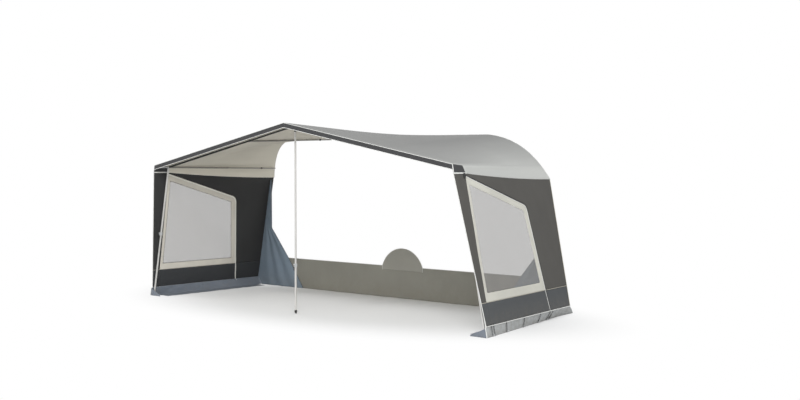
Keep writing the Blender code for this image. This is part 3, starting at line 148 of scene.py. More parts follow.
# Rear closures
SEAL_PLACE = DEPTH - 0.075
SEAL_TOP_HEIGHT = 1.88
SEAL_EDGE = ((0.0, 2.03), (0.50, 2.38), (1.02, 2.80), (1.88, 2.80))
SEAL_FOLD_DEPTH = 0.011
SEAL_FOLDS = 3.25
SEAL_FULL_WIDTH = 0.30
SEAL_INSET = 0.0035
SEAL_FOOT_INSET = 0.0145
SKIRT_ROOM = 0.004           # for the ripples of the cloth on each side of it
SKIRT_PLACE = SEAL_PLACE + SEAL_FOLD_DEPTH + FRAME_CLOTH + SHEET_GAP + SKIRT_ROOM
SKIRT_HEIGHT = 0.512
SKIRT_HALF_LENGTH = 2.40
SKIRT_FLAT_LENGTH = 0.40
SKIRT_FOLDS = 10
SKIRT_FOLD_DEPTH = 0.007
HEM_RADIUS = 0.0035
ARCH_PLACE = 0.17
ARCH_HALF_WIDTH = 0.41
ARCH_TOP_HEIGHT = 0.80
ARCH_LAP = 0.07

# Cords and beads, by their radius
WALL_PIPING = 0.0052
SEAM_CORD = 0.0034
WINDOW_PIPING = 0.0022
WINDOW_BINDING = 0.0044
SEAL_BINDING = 0.0026
SKIRT_BEAD = 0.0037
ARCH_BINDING = 0.0032
ZIP_TAIL = 0.003
STORM_LOOP = 0.0044
STORM_RING = 0.0038
LADDER_TAB = 0.0042
PEG = 0.0032

# Small parts
ZIP_TEETH = {"Pitch": 0.0042, "Size": (0.0027, 0.0062, 0.0028), "Sides": 6}
ZIP_TAIL_REACH = 0.055
ZIP_TAIL_DROP = 0.045
STORM_LOOP_DROP = 0.036
STORM_LOOP_STEPS = (-0.0165, -0.011, -0.0055, 0.0, 0.0055, 0.011, 0.0165)
STORM_RING_REACH = 0.020     # from its middle to the middle of its wire
LADDER = {"Pitch": 0.015, "Width": 0.0082, "Cord": 0.0018}
LADDER_TAB_RISES = (0.020, 0.008, -0.004, -0.014)
PEG_RISE = 0.016
PEG_BEND = 0.011

# Roof poles
POLE_LOOP_REACH = 0.74       # from the outer tube's end
POLE_LOOP_RADIUS = 0.0136
POLE_LOOP_CORD = 0.0022
FULL_TURN = [math.tau * k / 24 for k in range(25)]

# Shares of the roof's sections, each counted from the ridge down to the side edge
FRONT_SHARES = (0.0, 0.12, 0.24, 0.345, 0.46, 0.57, 0.67, 0.76, 0.84, 0.91, 0.96, 0.992)
REAR_SHARES = (0.0, 0.16, 0.32, 0.46, 0.56, 0.65, 0.73, 0.80, 0.87, 0.93, 0.97, 0.995)
BAND_STEPS = (0.0, 0.20, 0.50, 0.80, 1.0)
EDGE_STUB_SHARE = 0.99
LAST_SLOPE = len(FRONT_SHARES) - 1
LAST_BAND = LAST_SLOPE + len(BAND_STEPS) - 1
MIDDLE_POLE = 3.0
ROOF_HANG = 0.010
ROOF_BAYS = ((0.0, MIDDLE_POLE), (MIDDLE_POLE, 10.6))        # from one pole to the next
# Painted light on the roof cloth, by index from the ridge: how far its colour is lightened towards the eave bands
ROOF_PAINTED_LIGHT = ((0.0, 0.0), (5.2, 0.0), (10.0, 0.61), (11.0, 0.68), (12.2, 0.94), (13.0, 1.0), (15.0, 1.0))


# Plain helpers

def lerp(a, b, t):
    return a + (b - a) * t


def between(p, q, t):
    return tuple(lerp(a, b, t) for a, b in zip(p, q))


def evenly(count, first=0):
    """Shares of a whole in count equal steps."""
    return [k / count for k in range(first, count + 1)]


def spaced(a, b, count, first=0):
    """Values from a to b in count equal steps."""
    return [lerp(a, b, t) for t in evenly(count, first)]


def clamp(t):
    return max(0.0, min(1.0, t))


def ease(t):
    t = clamp(t)
    return t * t * (3.0 - 2.0 * t)


def drift(x, y, z):
    """Smooth noise, the same in each run."""
    return noise.noise(Vector((x, y, z)))


def by_knots(knots, place):
    """The value at a place between listed (place, value) knots."""
    for (low, a), (high, b) in zip(knots, knots[1:]):
        if place <= high:
            return lerp(a, b, (place - low) / (high - low))
    return knots[-1][1]


def lengths_along(line):
    marks = [0.0]
    for p, q in zip(line, line[1:]):
        marks.append(marks[-1] + math.dist(p, q))
    return marks


def resample(line, count):
    """The polyline with count equal steps."""
    marks = lengths_along(line)
    points, i = [], 0
    for k in range(count + 1):
        reach = marks[-1] * k / count
        while i < len(marks) - 2 and marks[i + 1] < reach:
            i += 1
        points.append(between(line[i], line[i + 1], (reach - marks[i]) / max(marks[i + 1] - marks[i], 1e-9)))
    return points


def resample_bent(line, before, after):
    """A bent polyline with equal steps before the middle of its bend, and after it."""
    middle = len(line) // 2
    return resample(line[:middle + 1], before) + resample(line[middle:], after)[1:]


def at_share(line, share):
    marks = lengths_along(line)
    reach = share * marks[-1]
    for p, q, a, b in zip(line, line[1:], marks, marks[1:]):
        if reach <= b:
            return between(p, q, (reach - a) / max(b - a, 1e-9))
    return line[-1]


def crossing(p, u, q, v):
    k = ((q[0] - p[0]) * v[1] - (q[1] - p[1]) * v[0]) / (u[0] * v[1] - u[1] * v[0])
    return (p[0] + u[0] * k, p[1] + u[1] * k)


def moved_line(p, q, distance):
    """The line through p and q moved to its left, as a point and a direction."""
    length = math.dist(p, q)
    u = ((q[0] - p[0]) / length, (q[1] - p[1]) / length)
    return (p[0] - u[1] * distance, p[1] + u[0] * distance), u


def moved_sides(corners, distances):
    """An anticlockwise polygon with each side moved inwards by its own distance."""
    lines = [moved_line(*ends) for ends in zip(corners, corners[1:] + corners[:1], distances)]
    return [crossing(*lines[i - 1], *line) for i, line in enumerate(lines)]


def arc_corner(before, corner, after, radius, steps):
    """The arc that rounds one corner of a polyline."""
    a, b = Vector(before) - Vector(corner), Vector(after) - Vector(corner)
    half = a.angle(b) / 2
    middle = Vector(corner) + (a.normalized() + b.normalized()).normalized() * radius / math.sin(half)
    start = Vector(corner) + a.normalized() * radius / math.tan(half) - middle
    spin = 1 if a.x * b.y - a.y * b.x < 0 else -1
    points = []
    for k in range(steps + 1):
        turn = spin * (math.pi - 2 * half) * k / steps
        c, s = math.cos(turn), math.sin(turn)
        points.append((middle.x + start.x * c - start.y * s, middle.y + start.x * s + start.y * c))
    return points


def sided_loop(corners, radii, arc_steps=6, side_steps=(56, 52, 62, 68)):
    """A closed loop of a fixed count of points: each side in equal steps and each corner as an arc."""
    after = corners[1:] + corners[:1]
    arcs = [arc_corner(corners[i - 1], corner, after[i], radii[i], arc_steps) for i, corner in enumerate(corners)]
    points = []
    for arc, following, count in zip(arcs, arcs[1:] + arcs[:1], side_steps):
        points += arc + resample([arc[-1], following[0]], count)[1:-1]
    return points + points[:1]


def facing(points, way=TO_FRONT):
    """Points of a guide line with their outside direction."""
    return [(p, way) for p in points]


# Side wall plane, with the swell and creases of its cloth

def wall_x(y, z):
    return FOOT_HALF_SPAN - WALL_TAPER * y / DEPTH - WALL_LEAN * z / EAVE_HEIGHT


def wall_normal(sign):
    return Vector((sign, WALL_TAPER / DEPTH, WALL_LEAN / EAVE_HEIGHT)).normalized()


def wall_swell(sign, y, z):
    """How far the cloth stands out of the flat wall: a soft hollow with long pulls, nothing at its edges."""
    hold = ease((z - FLAP_HEIGHT) / 0.25) * ease((EAVE_HEIGHT - z) / 0.22)
    hold *= ease((DEPTH - y) / 0.16) * ease((y + OVERHANG * z / EAVE_HEIGHT) / 0.10)
    pull = drift(y * 1.1 + z * 0.9, z * 0.5 - y * 0.4, 3.1 * sign) * 0.006
    crease = drift((y + z * 0.55) * 7.0, (z - y * 0.5) * 1.3, 8.0 + sign) * 0.0022
    return hold * (pull + crease - WALL_HOLLOW)


def on_wall(sign, y, z, inwards=0.0):
    return Vector((sign * wall_x(y, z), y, z)) + wall_normal(sign) * (wall_swell(sign, y, z) - inwards)


def wall_grid(side, a, b, across):
    """A grid on the wall cloth, ruled between two lines of (y, z) places of equal count."""
    return [[on_wall(SIDES[side], *between(p, q, t)) for t in evenly(across)] for p, q in zip(a, b)]


def wall_line(side, path, inwards=0.0, count=None):
    """A guide line on the wall cloth."""
    path = resample(path, count or max(8, int(lengths_along(path)[-1] / 0.02)))
    return facing([on_wall(SIDES[side], y, z, inwards) for y, z in path], wall_normal(SIDES[side]))


def hinge_y(z):
    return lerp(HINGE_FOOT, HINGE_TOP, (z - FLAP_HEIGHT) / (EAVE_HEIGHT - FLAP_HEIGHT))


def front_edge_y(z):
    return -OVERHANG * z / EAVE_HEIGHT


def eave_z(y):
    t = (y - EAVE_START) / (DEPTH - EAVE_START)
    return lerp(EAVE_HEIGHT, EAVE_REAR_HEIGHT, t) - 4 * EAVE_SAG * t * (1 - t)


def zip_corners(offset, bottom=FLAP_HEIGHT):
    """Start, knee and end of the zip round the window panel, moved outwards of the panel by an offset."""
    start_height = EAVE_HEIGHT - ZIP_START_DROP
    bend = (ZIP_CORNER, ZIP_CORNER_HEIGHT)
    top = moved_line((hinge_y(start_height), start_height), bend, offset)
    rear = moved_line(bend, (ZIP_FOOT, FLAP_HEIGHT), offset)
    start = crossing(*top, (HINGE_FOOT, FLAP_HEIGHT), (HINGE_TOP - HINGE_FOOT, EAVE_HEIGHT - FLAP_HEIGHT))
    return start, crossing(*top, *rear), crossing(*rear, (0.0, bottom), (1.0, 0.0))


def zip_path(offset, bottom=FLAP_HEIGHT):
    start, knee, end = zip_corners(offset, bottom)
    return [start] + arc_corner(start, knee, end, ZIP_CORNER_RADIUS + offset, 10) + [end]


# Roof surface

def roof_edge_z(y):
    if y <= HIP_START:
        return lerp(CORNER_HEIGHT, HIP_HEIGHT, (y + OVERHANG) / (HIP_START + OVERHANG))
    if y <= EAVE_START:
        return lerp(HIP_HEIGHT, EAVE_HEIGHT, ease((y - HIP_START) / (EAVE_START - HIP_START)))
    return eave_z(y)


def ridge_z(y):
    return lerp(PEAK_HEIGHT, RIDGE_REAR_HEIGHT, (y + OVERHANG) / (DEPTH + OVERHANG))


def overhang_section(y):
    """Slope and eave band at the overhang, where the band is only a stub."""
    edge = roof_edge_z(y)
    line = [(0.0, ridge_z(y)), (wall_x(y, edge), edge)]
    stub = at_share(line, EDGE_STUB_SHARE)
    return [line[0], stub], [stub, line[1]]


def eave_section():
    """Slope and eave band where the band has its full height."""
    hip = (wall_x(EAVE_START, HIP_HEIGHT), HIP_HEIGHT)
    return [(0.0, ridge_z(EAVE_START)), hip], [hip, (wall_x(EAVE_START, EAVE_HEIGHT), EAVE_HEIGHT)]


def rail_contour(side):
    """The rail from the middle to the foot of the roof, cut in two at the hip."""
    edge = (wall_x(DEPTH, EAVE_REAR_HEIGHT), EAVE_REAR_HEIGHT)
    flat_end = (RAIL_FLAT[side], RAIL_FLAT_HEIGHT[side])
    reach = (RAIL_SHOULDER_REACH[side], RAIL_SHOULDER_HEIGHT[side])
    line = [(0.0, RIDGE_REAR_HEIGHT)]
    for t in evenly(24):
        line.append(tuple((1 - t) ** 2 * a + 2 * t * (1 - t) * b + t * t * c
                          for a, b, c in zip(flat_end, reach, edge)))
    height = HIP_REAR_HEIGHT[side]
    i = next(i for i, p in enumerate(line) if p[1] <= height)
    cut = between(line[i - 1], line[i], (height - line[i - 1][1]) / (line[i][1] - line[i - 1][1]))
    return line[:i] + [cut], [cut] + line[i:]


RAIL = {side_name: rail_contour(side_name) for side_name in SIDES}


def spread(shares, index):
    """A share between the listed ones, for an index that need not be whole."""
    i = min(int(index), len(shares) - 2)
    return lerp(shares[i], shares[i + 1], index - i)


def section_point(section, shares, index):
    slope, band = section
    if index <= LAST_SLOPE:
        return at_share(slope, spread(shares, index))
    t = index - LAST_SLOPE
    if t <= 1.0:
        return between(at_share(slope, shares[-1]), at_share(band, BAND_STEPS[1]), t)
    return at_share(band, spread(BAND_STEPS, t))


def roof_point(side, index, y):
    """A point of the roof, its index counted from the ridge to the side edge."""
    if y <= HIP_START:
        x, z = section_point(overhang_section(y), FRONT_SHARES, index)
    elif y <= EAVE_START:
        a = section_point(overhang_section(HIP_START), FRONT_SHARES, index)
        b = section_point(eave_section(), FRONT_SHARES, index)
        x, z = between(a, b, ease((y - HIP_START) / (EAVE_START - HIP_START)))
        x = wall_x(y, z) if index == LAST_BAND else x
    else:
        t = (y - EAVE_START) / (DEPTH - EAVE_START)
        a = section_point(eave_section(), FRONT_SHARES, index)
        b = section_point(RAIL[side], REAR_SHARES, index)
        x, z = between(a, b, t)
        if index > LAST_SLOPE + 1:
            drop = 4 * EAVE_SAG * t * (1 - t) * spread(BAND_STEPS, index - LAST_SLOPE)
            x += WALL_LEAN / EAVE_HEIGHT * drop
            z -= drop
    return Vector((SIDES[side] * x, y, z))


def roof_swell(side, index, y):
    """The cloth hangs a little between its poles and pulls up in fine creases from the rail."""
    if y < 0.0:
        return 0.0
    hang = 0.0
    for a, b in ROOF_BAYS:
        if a < index < b:
            hang = -ROOF_HANG * math.sin(math.pi * (index - a) / (b - a)) ** 2
    pull = drift(index * 0.55, y * 0.8, 5.0 * SIDES[side]) * 0.004
    crease = drift(index * 2.4, y * 0.9, 9.0 * SIDES[side]) * 0.0016
    hold = min(1.0, abs(index - MIDDLE_POLE), index, max(0.0, LAST_SLOPE - 0.4 - index))
    return math.sin(math.pi * min(1.0, y / DEPTH)) * (hang + max(0.0, hold) * (pull + crease))


# Nodes

def feed(tree, socket, value):
    """Links a socket to the one given, or sets its value."""
    if isinstance(value, bpy.types.NodeSocket):
        tree.links.new(value, socket)
    else:
        socket.default_value = value


def add_node(tree, kind, settings=None, **inputs):
    """A node with its settings, and its inputs by name, with _ for a space."""
    node = tree.nodes.new(kind)
    for name, value in (settings or {}).items():
        setattr(node, name, value)
    for name, value in inputs.items():
        feed(tree, node.inputs[name.replace("_", " ")], value)
    return node


def combine(tree, kind, a, b, first=0, **more):
    """A node that joins two inputs which have the same name."""
    node = add_node(tree, kind, **more)
    feed(tree, node.inputs[first], a)
    feed(tree, node.inputs[first + 1], b)
    return node.outputs[0]


# Finishes

class Finish:
    """A material whose nodes are added one by one."""

    def __init__(self, name, roughness, metallic=0.0):
        self.material = bpy.data.materials.new(name)
        self.material.use_nodes = True
        self.tree = self.material.node_tree
        self.shader = self.tree.nodes["Principled BSDF"]
        self.place = self.add("ShaderNodeTexCoord").outputs
        self.set(Roughness=roughness, Metallic=metallic)

    def add(self, kind, settings=None, **inputs):
        return add_node(self.tree, kind, settings, **inputs)

    def set(self, **inputs):
        for name, value in inputs.items():
            feed(self.tree, self.shader.inputs[name.replace("_", " ")], value)

    def clouds(self, scale, detail, roughness=0.5, place=None):
        """Noise over the object, or over another place."""
        return self.add("ShaderNodeTexNoise", Vector=place or self.place["Object"], Scale=scale, Detail=detail,
                        Roughness=roughness).outputs["Fac"]

    def ranged(self, value, low, high, to_low, to_high):
        return self.add("ShaderNodeMapRange", Value=value, From_Min=low, From_Max=high, To_Min=to_low,
                        To_Max=to_high).outputs["Result"]

    def mix(self, share, a, b):
        node = self.add("ShaderNodeMix", {"data_type": "RGBA"}, Factor=share)
        for socket, colour in zip([s for s in node.inputs if s.type == "RGBA"], (a, b)):
            feed(self.tree, socket, colour)
        return [s for s in node.outputs if s.type == "RGBA"][0]

    def multiply(self, a, b):
        return combine(self.tree, "ShaderNodeMath", a, b, settings={"operation": "MULTIPLY"})

    def bump(self, height, strength, distance):
        self.set(Normal=self.add("ShaderNodeBump", Height=height, Strength=strength,
                                 Distance=distance).outputs["Normal"])


def shade(colour, factor=1.0):
    return tuple(min(1.0, c * factor) for c in colour) + (1.0,)


def woven(name, colour, roughness=0.75, sheen=0.05, soil=0.0, streak=0.06, pale=None):
    """Coated canvas: a fine weave, cloudy fading, faint pulls, and soil that rises from the ground."""
    f = Finish(name, roughness)
    cloud = f.clouds(1.7, 5.0, 0.6)
    faded = f.mix(f.ranged(cloud, 0.3, 0.7, 0.0, 1.0), shade(colour, 0.93), shade(colour, 1.07))
    # Painted light: the pale attribute mixes in a lighter colour where light falls more, so faded carries painted
    # light from here on
    if pale:
        painted_light_share = f.add("ShaderNodeAttribute", {"attribute_name": "pale"})
        faded = f.mix(painted_light_share.outputs["Fac"], faded, shade(pale))
    stretch = f.add("ShaderNodeMapping", Vector=f.place["UV"], Scale=(9.0, 1.2, 1.0))
    pull = f.clouds(1.0, 4.0, 0.55, stretch.outputs["Vector"])
    streaked = f.mix(f.ranged(pull, 0.35, 0.75, 0.0, streak), faded, shade(colour, 0.6))
    height = f.add("ShaderNodeSeparateXYZ", Vector=f.place["Object"]).outputs["Z"]
    dust = f.ranged(f.clouds(14.0, 6.0, 0.7), 0.4, 0.7, soil * 0.3, soil)
    soiled = f.mix(f.multiply(f.ranged(height, 0.0, 0.35, 1.0, 0.0), dust), streaked, (0.23, 0.20, 0.15, 1.0))
    f.set(Base_Color=soiled, Roughness=f.ranged(cloud, 0.3, 0.7, roughness - 0.07, roughness + 0.07),
          Specular_IOR_Level=0.12, Sheen_Weight=sheen, Sheen_Roughness=0.5)
    scale = 0.314 / THREAD   # at scale 1 the bands of a wave are 0.314 apart
    warp, weft = (f.add("ShaderNodeTexWave", {"bands_direction": way}, Vector=f.place["UV"], Scale=scale,
                        Distortion=0.4).outputs["Fac"] for way in "XY")
    f.bump(f.multiply(warp, weft), 0.35, 0.0002)
    return f.material


def moulded(name, colour, roughness=0.45):
    """Moulded plastic or rubber with a fine spark-eroded grain and rubbed, duller patches."""
    f = Finish(name, roughness)
    patch = f.clouds(35.0, 4.0)
    f.set(Base_Color=f.mix(patch, shade(colour, 0.88), shade(colour, 1.12)),
          Roughness=f.ranged(patch, 0.3, 0.7, roughness - 0.08, roughness + 0.1))
    f.bump(f.clouds(900.0, 2.0), 0.15, 0.0001)
    return f.material


def tube_metal(name, colour, roughness, metallic):
    """Drawn and plated tube: cloudy plating over a fine grain."""
    f = Finish(name, roughness, metallic)
    cloud = f.clouds(9.0, 6.0, 0.6)
    f.set(Base_Color=f.mix(cloud, shade(colour, 0.9), shade(colour, 1.08)),
          Roughness=f.ranged(cloud, 0.3, 0.75, roughness - 0.08, roughness + 0.14))
    f.bump(f.clouds(260.0, 3.0), 0.12, 0.0001)
    return f.material


def clear_foil(name, colour, alpha):
    """Clear soft foil with a light haze, long ripples and a few scuffs."""
    f = Finish(name, 0.08)
    f.set(Base_Color=shade(colour), Alpha=alpha, Roughness=f.ranged(f.clouds(60.0, 6.0, 0.75), 0.45, 0.8, 0.06, 0.3),
          IOR=1.45)
    f.bump(f.clouds(3.2, 1.0, 0.4), 0.35, 0.004)
    return f.material


# The pale colours of both roof finishes are painted light, laid on by the pale attribute
ROOF_OUT = woven("roof cloth outside", (0.222, 0.222, 0.216), 0.7, streak=0.05, pale=(0.55, 0.555, 0.53))
ROOF_IN = woven("roof cloth inside", (0.60, 0.565, 0.485), 0.8, streak=0.10, pale=(0.775, 0.735, 0.635))
FASCIA_CLOTH = woven("fascia cloth", (0.060, 0.060, 0.062), 0.7)
WALL_OUT = woven("wall cloth outside", (0.101, 0.0965, 0.0885), 0.8, soil=0.25)
WALL_IN = woven("wall cloth inside", (0.048, 0.048, 0.0485), 0.85)
LOWER_OUT = woven("lower cloth outside", (0.089, 0.094, 0.0985), 0.7, soil=0.4)
LOWER_IN = woven("lower cloth inside", (0.051, 0.0535, 0.057), 0.8)
CREAM_OUT = woven("window cloth outside", (0.66, 0.645, 0.575), 0.6, streak=0.04)
CREAM_IN = woven("window cloth inside", (0.70, 0.665, 0.59), 0.7)
# One ground cloth on both faces: its outside colour is lightened with painted light and its inside colour darkened
# with painted shade
MUD_PAINTED_LIGHT = woven("ground cloth painted light outside", (0.52, 0.54, 0.55), 0.5, sheen=0.0, soil=0.6, streak=0.15)
MUD_PAINTED_SHADE = woven("ground cloth painted shade inside", (0.200, 0.232, 0.282), 0.55, sheen=0.0, soil=0.3)
SEAL_CLOTH = woven("sealing cloth", (0.24, 0.298, 0.362), 0.75, soil=0.3, streak=0.12)
SKIRT_CLOTH = woven("skirt cloth", (0.308, 0.30, 0.262), 0.75, soil=0.35)
ARCH_CLOTH = woven("arch cloth", (0.37, 0.36, 0.32), 0.75)
PIPING = moulded("piping", (0.80, 0.80, 0.77), 0.4)
BINDING = moulded("seam cord", (0.52, 0.49, 0.41), 0.6)
PALE_ZIP = woven("zip tape pale", (0.88, 0.85, 0.76), 0.75)
DARK_ZIP = woven("zip tape dark", (0.022, 0.022, 0.023), 0.8)
PALE_THREAD = moulded("pale thread", (0.60, 0.59, 0.55), 0.7)
DARK_THREAD = moulded("dark thread", (0.035, 0.035, 0.036), 0.75)
FOIL_CLEAR = clear_foil("window foil", (0.31, 0.30, 0.285), 0.42)
POLE = tube_metal("pole tube", (0.66, 0.65, 0.625), 0.38, 0.5)
# The slope and roof poles are the same steel as the legs; their darker colours are painted shade under the roof
SLOPE_POLE_PAINTED_SHADE = tube_metal("slope pole tube painted shade", (0.022, 0.022, 0.022), 0.5, 0.2)
ROOF_POLE_PAINTED_SHADE = tube_metal("roof pole tube painted shade", (0.27, 0.26, 0.24), 0.55, 0.4)
PEG_STEEL = tube_metal("peg steel", (0.55, 0.56, 0.57), 0.4, 1.0)
JOINT = moulded("joint moulding", (0.55, 0.56, 0.56), 0.45)
BLACK = moulded("black moulding", (0.022, 0.022, 0.023), 0.5)
BLACK_TEETH = moulded("zip teeth", (0.05, 0.05, 0.05), 0.45)
RUBBER = moulded("ladder rubber", (0.045, 0.045, 0.047), 0.6)


# Meshes


def moved_back(p):
    return (p[0], p[1] - ORIGIN_SHIFT, p[2])


def grid_mesh(name, grid, materials, outward, cells=None, weld=False, outer_rows=None):
    """A one-sided sheet through a grid of points, with a weave map in metres and faces towards outward."""
    columns = len(grid[0])
    mesh = bpy.data.meshes.new(name)
    firsts = [i * columns + j for i in range(len(grid) - 1) for j in range(columns - 1)
              if cells is None or cells(i, j)]
    mesh.from_pydata([moved_back(p) for row in grid for p in row], [],
                     [(a, a + 1, a + columns + 1, a + columns) for a in firsts])
    mesh.update()
    tested = [f for f in mesh.polygons if outer_rows is None or min(f.vertices) // columns < outer_rows]
    if sum((f.normal * f.area for f in tested), Vector()).dot(outward) < 0.0:
        mesh.flip_normals()
    weave = mesh.uv_layers.new(name="weave")
    along = [lengths_along(row) for row in grid]
    down = [lengths_along(column) for column in zip(*grid)]
    for loop in mesh.loops:
        i, j = divmod(loop.vertex_index, columns)
        weave.data[loop.index].uv = (along[i][j], down[j][i])
    loose = bmesh.new()
    loose.from_mesh(mesh)
    bmesh.ops.delete(loose, geom=[v for v in loose.verts if not v.link_faces], context="VERTS")
    if weld:
        bmesh.ops.remove_doubles(loose, verts=loose.verts, dist=1e-5)
    loose.to_mesh(mesh)
    loose.free()
    for material in materials:
        mesh.materials.append(material)
    mesh.shade_smooth()
    return mesh


def add_piece(name, mesh, body="awning"):
    piece = bpy.data.objects.new(name, mesh)
    bpy.context.scene.collection.objects.link(piece)
    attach(piece, body)
    return piece


def add_cloth(name, node, grid, finishes, outward, slot, held, rests_on, body="awning", thickness=CLOTH, flat=None,
              **shaping):
    """A sheet that stands for a node of the frame, its finishes listed outside first."""
    mesh = grid_mesh(name, grid, finishes, outward, **shaping)
    piece = add_piece(name, mesh, body)
    wall = piece.modifiers.new("thickness", "SOLIDIFY")
    wall.thickness = thickness
    wall.offset = -1.0
    wall.material_offset = len(finishes) // 2
    wall.material_offset_rim = 0
    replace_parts(piece, node)
    if flat is None:
        flat = [round(max(lengths_along(line)[-1] for line in lines), 3) for lines in (grid, list(zip(*grid)))]
    return piece


def wall_sheet(side, name, node, grid, finishes, slot, rests_on=("roof_cloth_sheet",), held="stretched", **more):
    """A sheet of one side wall, named for its side."""
    return add_cloth(f"{name}_{side}", f"{node}_{side}", grid, finishes, Vector((SIDES[side], 0, 0)), slot, held,
                     list(rests_on), **more)


# Growing what repeats along a line

def new_tree(name, **sizes):
    """A tree with named sizes, its inputs, and the guide lines as curves."""
    tree = bpy.data.node_groups.new(name, "GeometryNodeTree")
    tree.interface.new_socket("Geometry", in_out="OUTPUT", socket_type="NodeSocketGeometry")
    for size, kind in {"Geometry": "Geometry", **sizes, "Finish": "Material"}.items():
        tree.interface.new_socket(size, in_out="INPUT", socket_type=f"NodeSocket{kind}")
    given = tree.nodes.new("NodeGroupInput").outputs
    return tree, given, add_node(tree, "GeometryNodeMeshToCurve", Mesh=given["Geometry"]).outputs["Curve"]


def finish_tree(tree, given, geometry):
    plain = add_node(tree, "GeometryNodeRealizeInstances", Geometry=geometry)
    smooth = add_node(tree, "GeometryNodeSetShadeSmooth", Geometry=plain.outputs["Geometry"])
    finished = add_node(tree, "GeometryNodeSetMaterial", Geometry=smooth.outputs["Geometry"],
                        Material=given["Finish"])
    add_node(tree, "NodeGroupOutput", Geometry=finished.outputs["Geometry"])
    return tree


def set_along(tree, given, lines, shape, **scale):
    """A shape at equal steps along the lines, turned along them and to the surface's outside."""
    marks = add_node(tree, "GeometryNodeResampleCurve", {"mode": "LENGTH"}, Curve=lines, Length=given["Pitch"])
    tangent = add_node(tree, "GeometryNodeInputTangent")
    outside = add_node(tree, "GeometryNodeInputNamedAttribute", {"data_type": "FLOAT_VECTOR"}, Name="outside")
    along = add_node(tree, "FunctionNodeAlignRotationToVector", {"axis": "X"}, Vector=tangent.outputs["Tangent"])
    upright = add_node(tree, "FunctionNodeAlignRotationToVector", {"axis": "Z", "pivot_axis": "X"},
                       Rotation=along.outputs["Rotation"], Vector=outside.outputs["Attribute"])
    placed = add_node(tree, "GeometryNodeInstanceOnPoints", Points=marks.outputs["Curve"], Instance=shape,
                      Rotation=upright.outputs["Rotation"], **scale)
    return finish_tree(tree, given, placed.outputs["Instances"])


def cord(tree, path, sides, radius, **caps):
    """A round cord along a path."""
    profile = add_node(tree, "GeometryNodeCurvePrimitiveCircle", Resolution=sides, Radius=radius)
    return add_node(tree, "GeometryNodeCurveToMesh", Curve=path, Profile_Curve=profile.outputs["Curve"],
                    **caps).outputs["Mesh"]


def repeat_tree():
    """Small raised beads, such as stitches and zip teeth."""
    tree, given, lines = new_tree("repeat_along_line", Pitch="Float", Size="Vector", Sides="Int")
    bead = add_node(tree, "GeometryNodeMeshUVSphere", Segments=given["Sides"], Rings=3, Radius=0.5)
    return set_along(tree, given, lines, bead.outputs["Mesh"], Scale=given["Size"])


def ring_tree():
    """Rings side by side, as in a rubber pegging ladder."""
    tree, given, lines = new_tree("rings_along_line", Pitch="Float", Width="Float", Cord="Float")
    ring = add_node(tree, "GeometryNodeCurvePrimitiveCircle", Resolution=12, Radius=given["Width"])
    return set_along(tree, given, lines, cord(tree, ring.outputs["Curve"], 6, given["Cord"]))


def piping_tree():
    """A round bead along lines, closed at its ends."""
    tree, given, lines = new_tree("piping_along_line", Radius="Float", Sides="Int")
    return finish_tree(tree, given, cord(tree, lines, given["Sides"], given["Radius"], Fill_Caps=True))


TREES = {"repeat": repeat_tree(), "rings": ring_tree(), "piping": piping_tree()}


def grow(name, kind, lines, sizes, finish, body="awning"):
    """Runs a tree on lines of (point, outside direction) pairs and keeps the plain mesh as a piece."""
    points, edges, sides = [], [], []
    for line in lines:
        edges += [(i, i + 1) for i in range(len(points), len(points) + len(line) - 1)]
        points += [moved_back(p) for p, _ in line]
        sides += [Vector(outside).normalized() for _, outside in line]
    guide_mesh = bpy.data.meshes.new(name + "_guide")
    guide_mesh.from_pydata(points, edges, [])
    outside = guide_mesh.attributes.new("outside", "FLOAT_VECTOR", "POINT")
    outside.data.foreach_set("vector", [c for side in sides for c in side])
    guide = bpy.data.objects.new(name + "_guide", guide_mesh)
    bpy.context.scene.collection.objects.link(guide)
    step = guide.modifiers.new("grow", "NODES")
    step.node_group = TREES[kind]
    identifiers = {s.name: s.identifier for s in TREES[kind].interface.items_tree if s.in_out == "INPUT"}
    for key, value in {**sizes, "Finish": finish}.items():
        step[identifiers[key]] = value
    bpy.context.view_layer.update()
    graph = bpy.context.evaluated_depsgraph_get()
    mesh = bpy.data.meshes.new_from_object(guide.evaluated_get(graph))
    mesh.name = name
    bpy.data.objects.remove(guide, do_unlink=True)
    return add_piece(name, mesh, body)


def bead(name, lines, radius, finish=PIPING, slot="piping", sides=8, body="awning"):
    return grow(name, "piping", lines, {"Radius": radius, "Sides": sides}, finish, body)


# Guide lines that the sheets leave for the stitches, edge beads and seam cords
STITCHES = {"dark": [], "pale": [], "window_left": [], "window_right": []}
PIPED = {"left": [], "right": []}
TAPED = {"left": [], "right": []}


def stitch_wall(side, path, key="dark"):
    """A row of stitches on both faces of the wall cloth."""
    inside = [(p, -n) for p, n in wall_line(side, path, CLOTH + WALL_STITCH_RISE)]
    STITCHES[key] += [wall_line(side, path, -WALL_STITCH_RISE), inside]


# Cloth of the roof

FINE = [k / 4 for k in range(4 * LAST_BAND + 1)]
ROOF_ROWS = spaced(-OVERHANG, 0.0, 8) + [EAVE_START * k / 6 for k in range(1, 7)]
ROOF_ROWS += spaced(EAVE_START, DEPTH, 66, first=1)
KEDER_REACH = 0.012
KEDER_RADIUS = 0.00375


def roof_place(side, index, y):
    p = roof_point(side, index, min(y, DEPTH))
    p.y = y
    p.z += roof_swell(side, index, y)
    return p


def roof_row(y):
    """Places across the whole roof, from its left edge to its right edge."""
    return [roof_place("left", index, y) for index in reversed(FINE)] + [
        roof_place("right", index, y) for index in FINE[1:]]


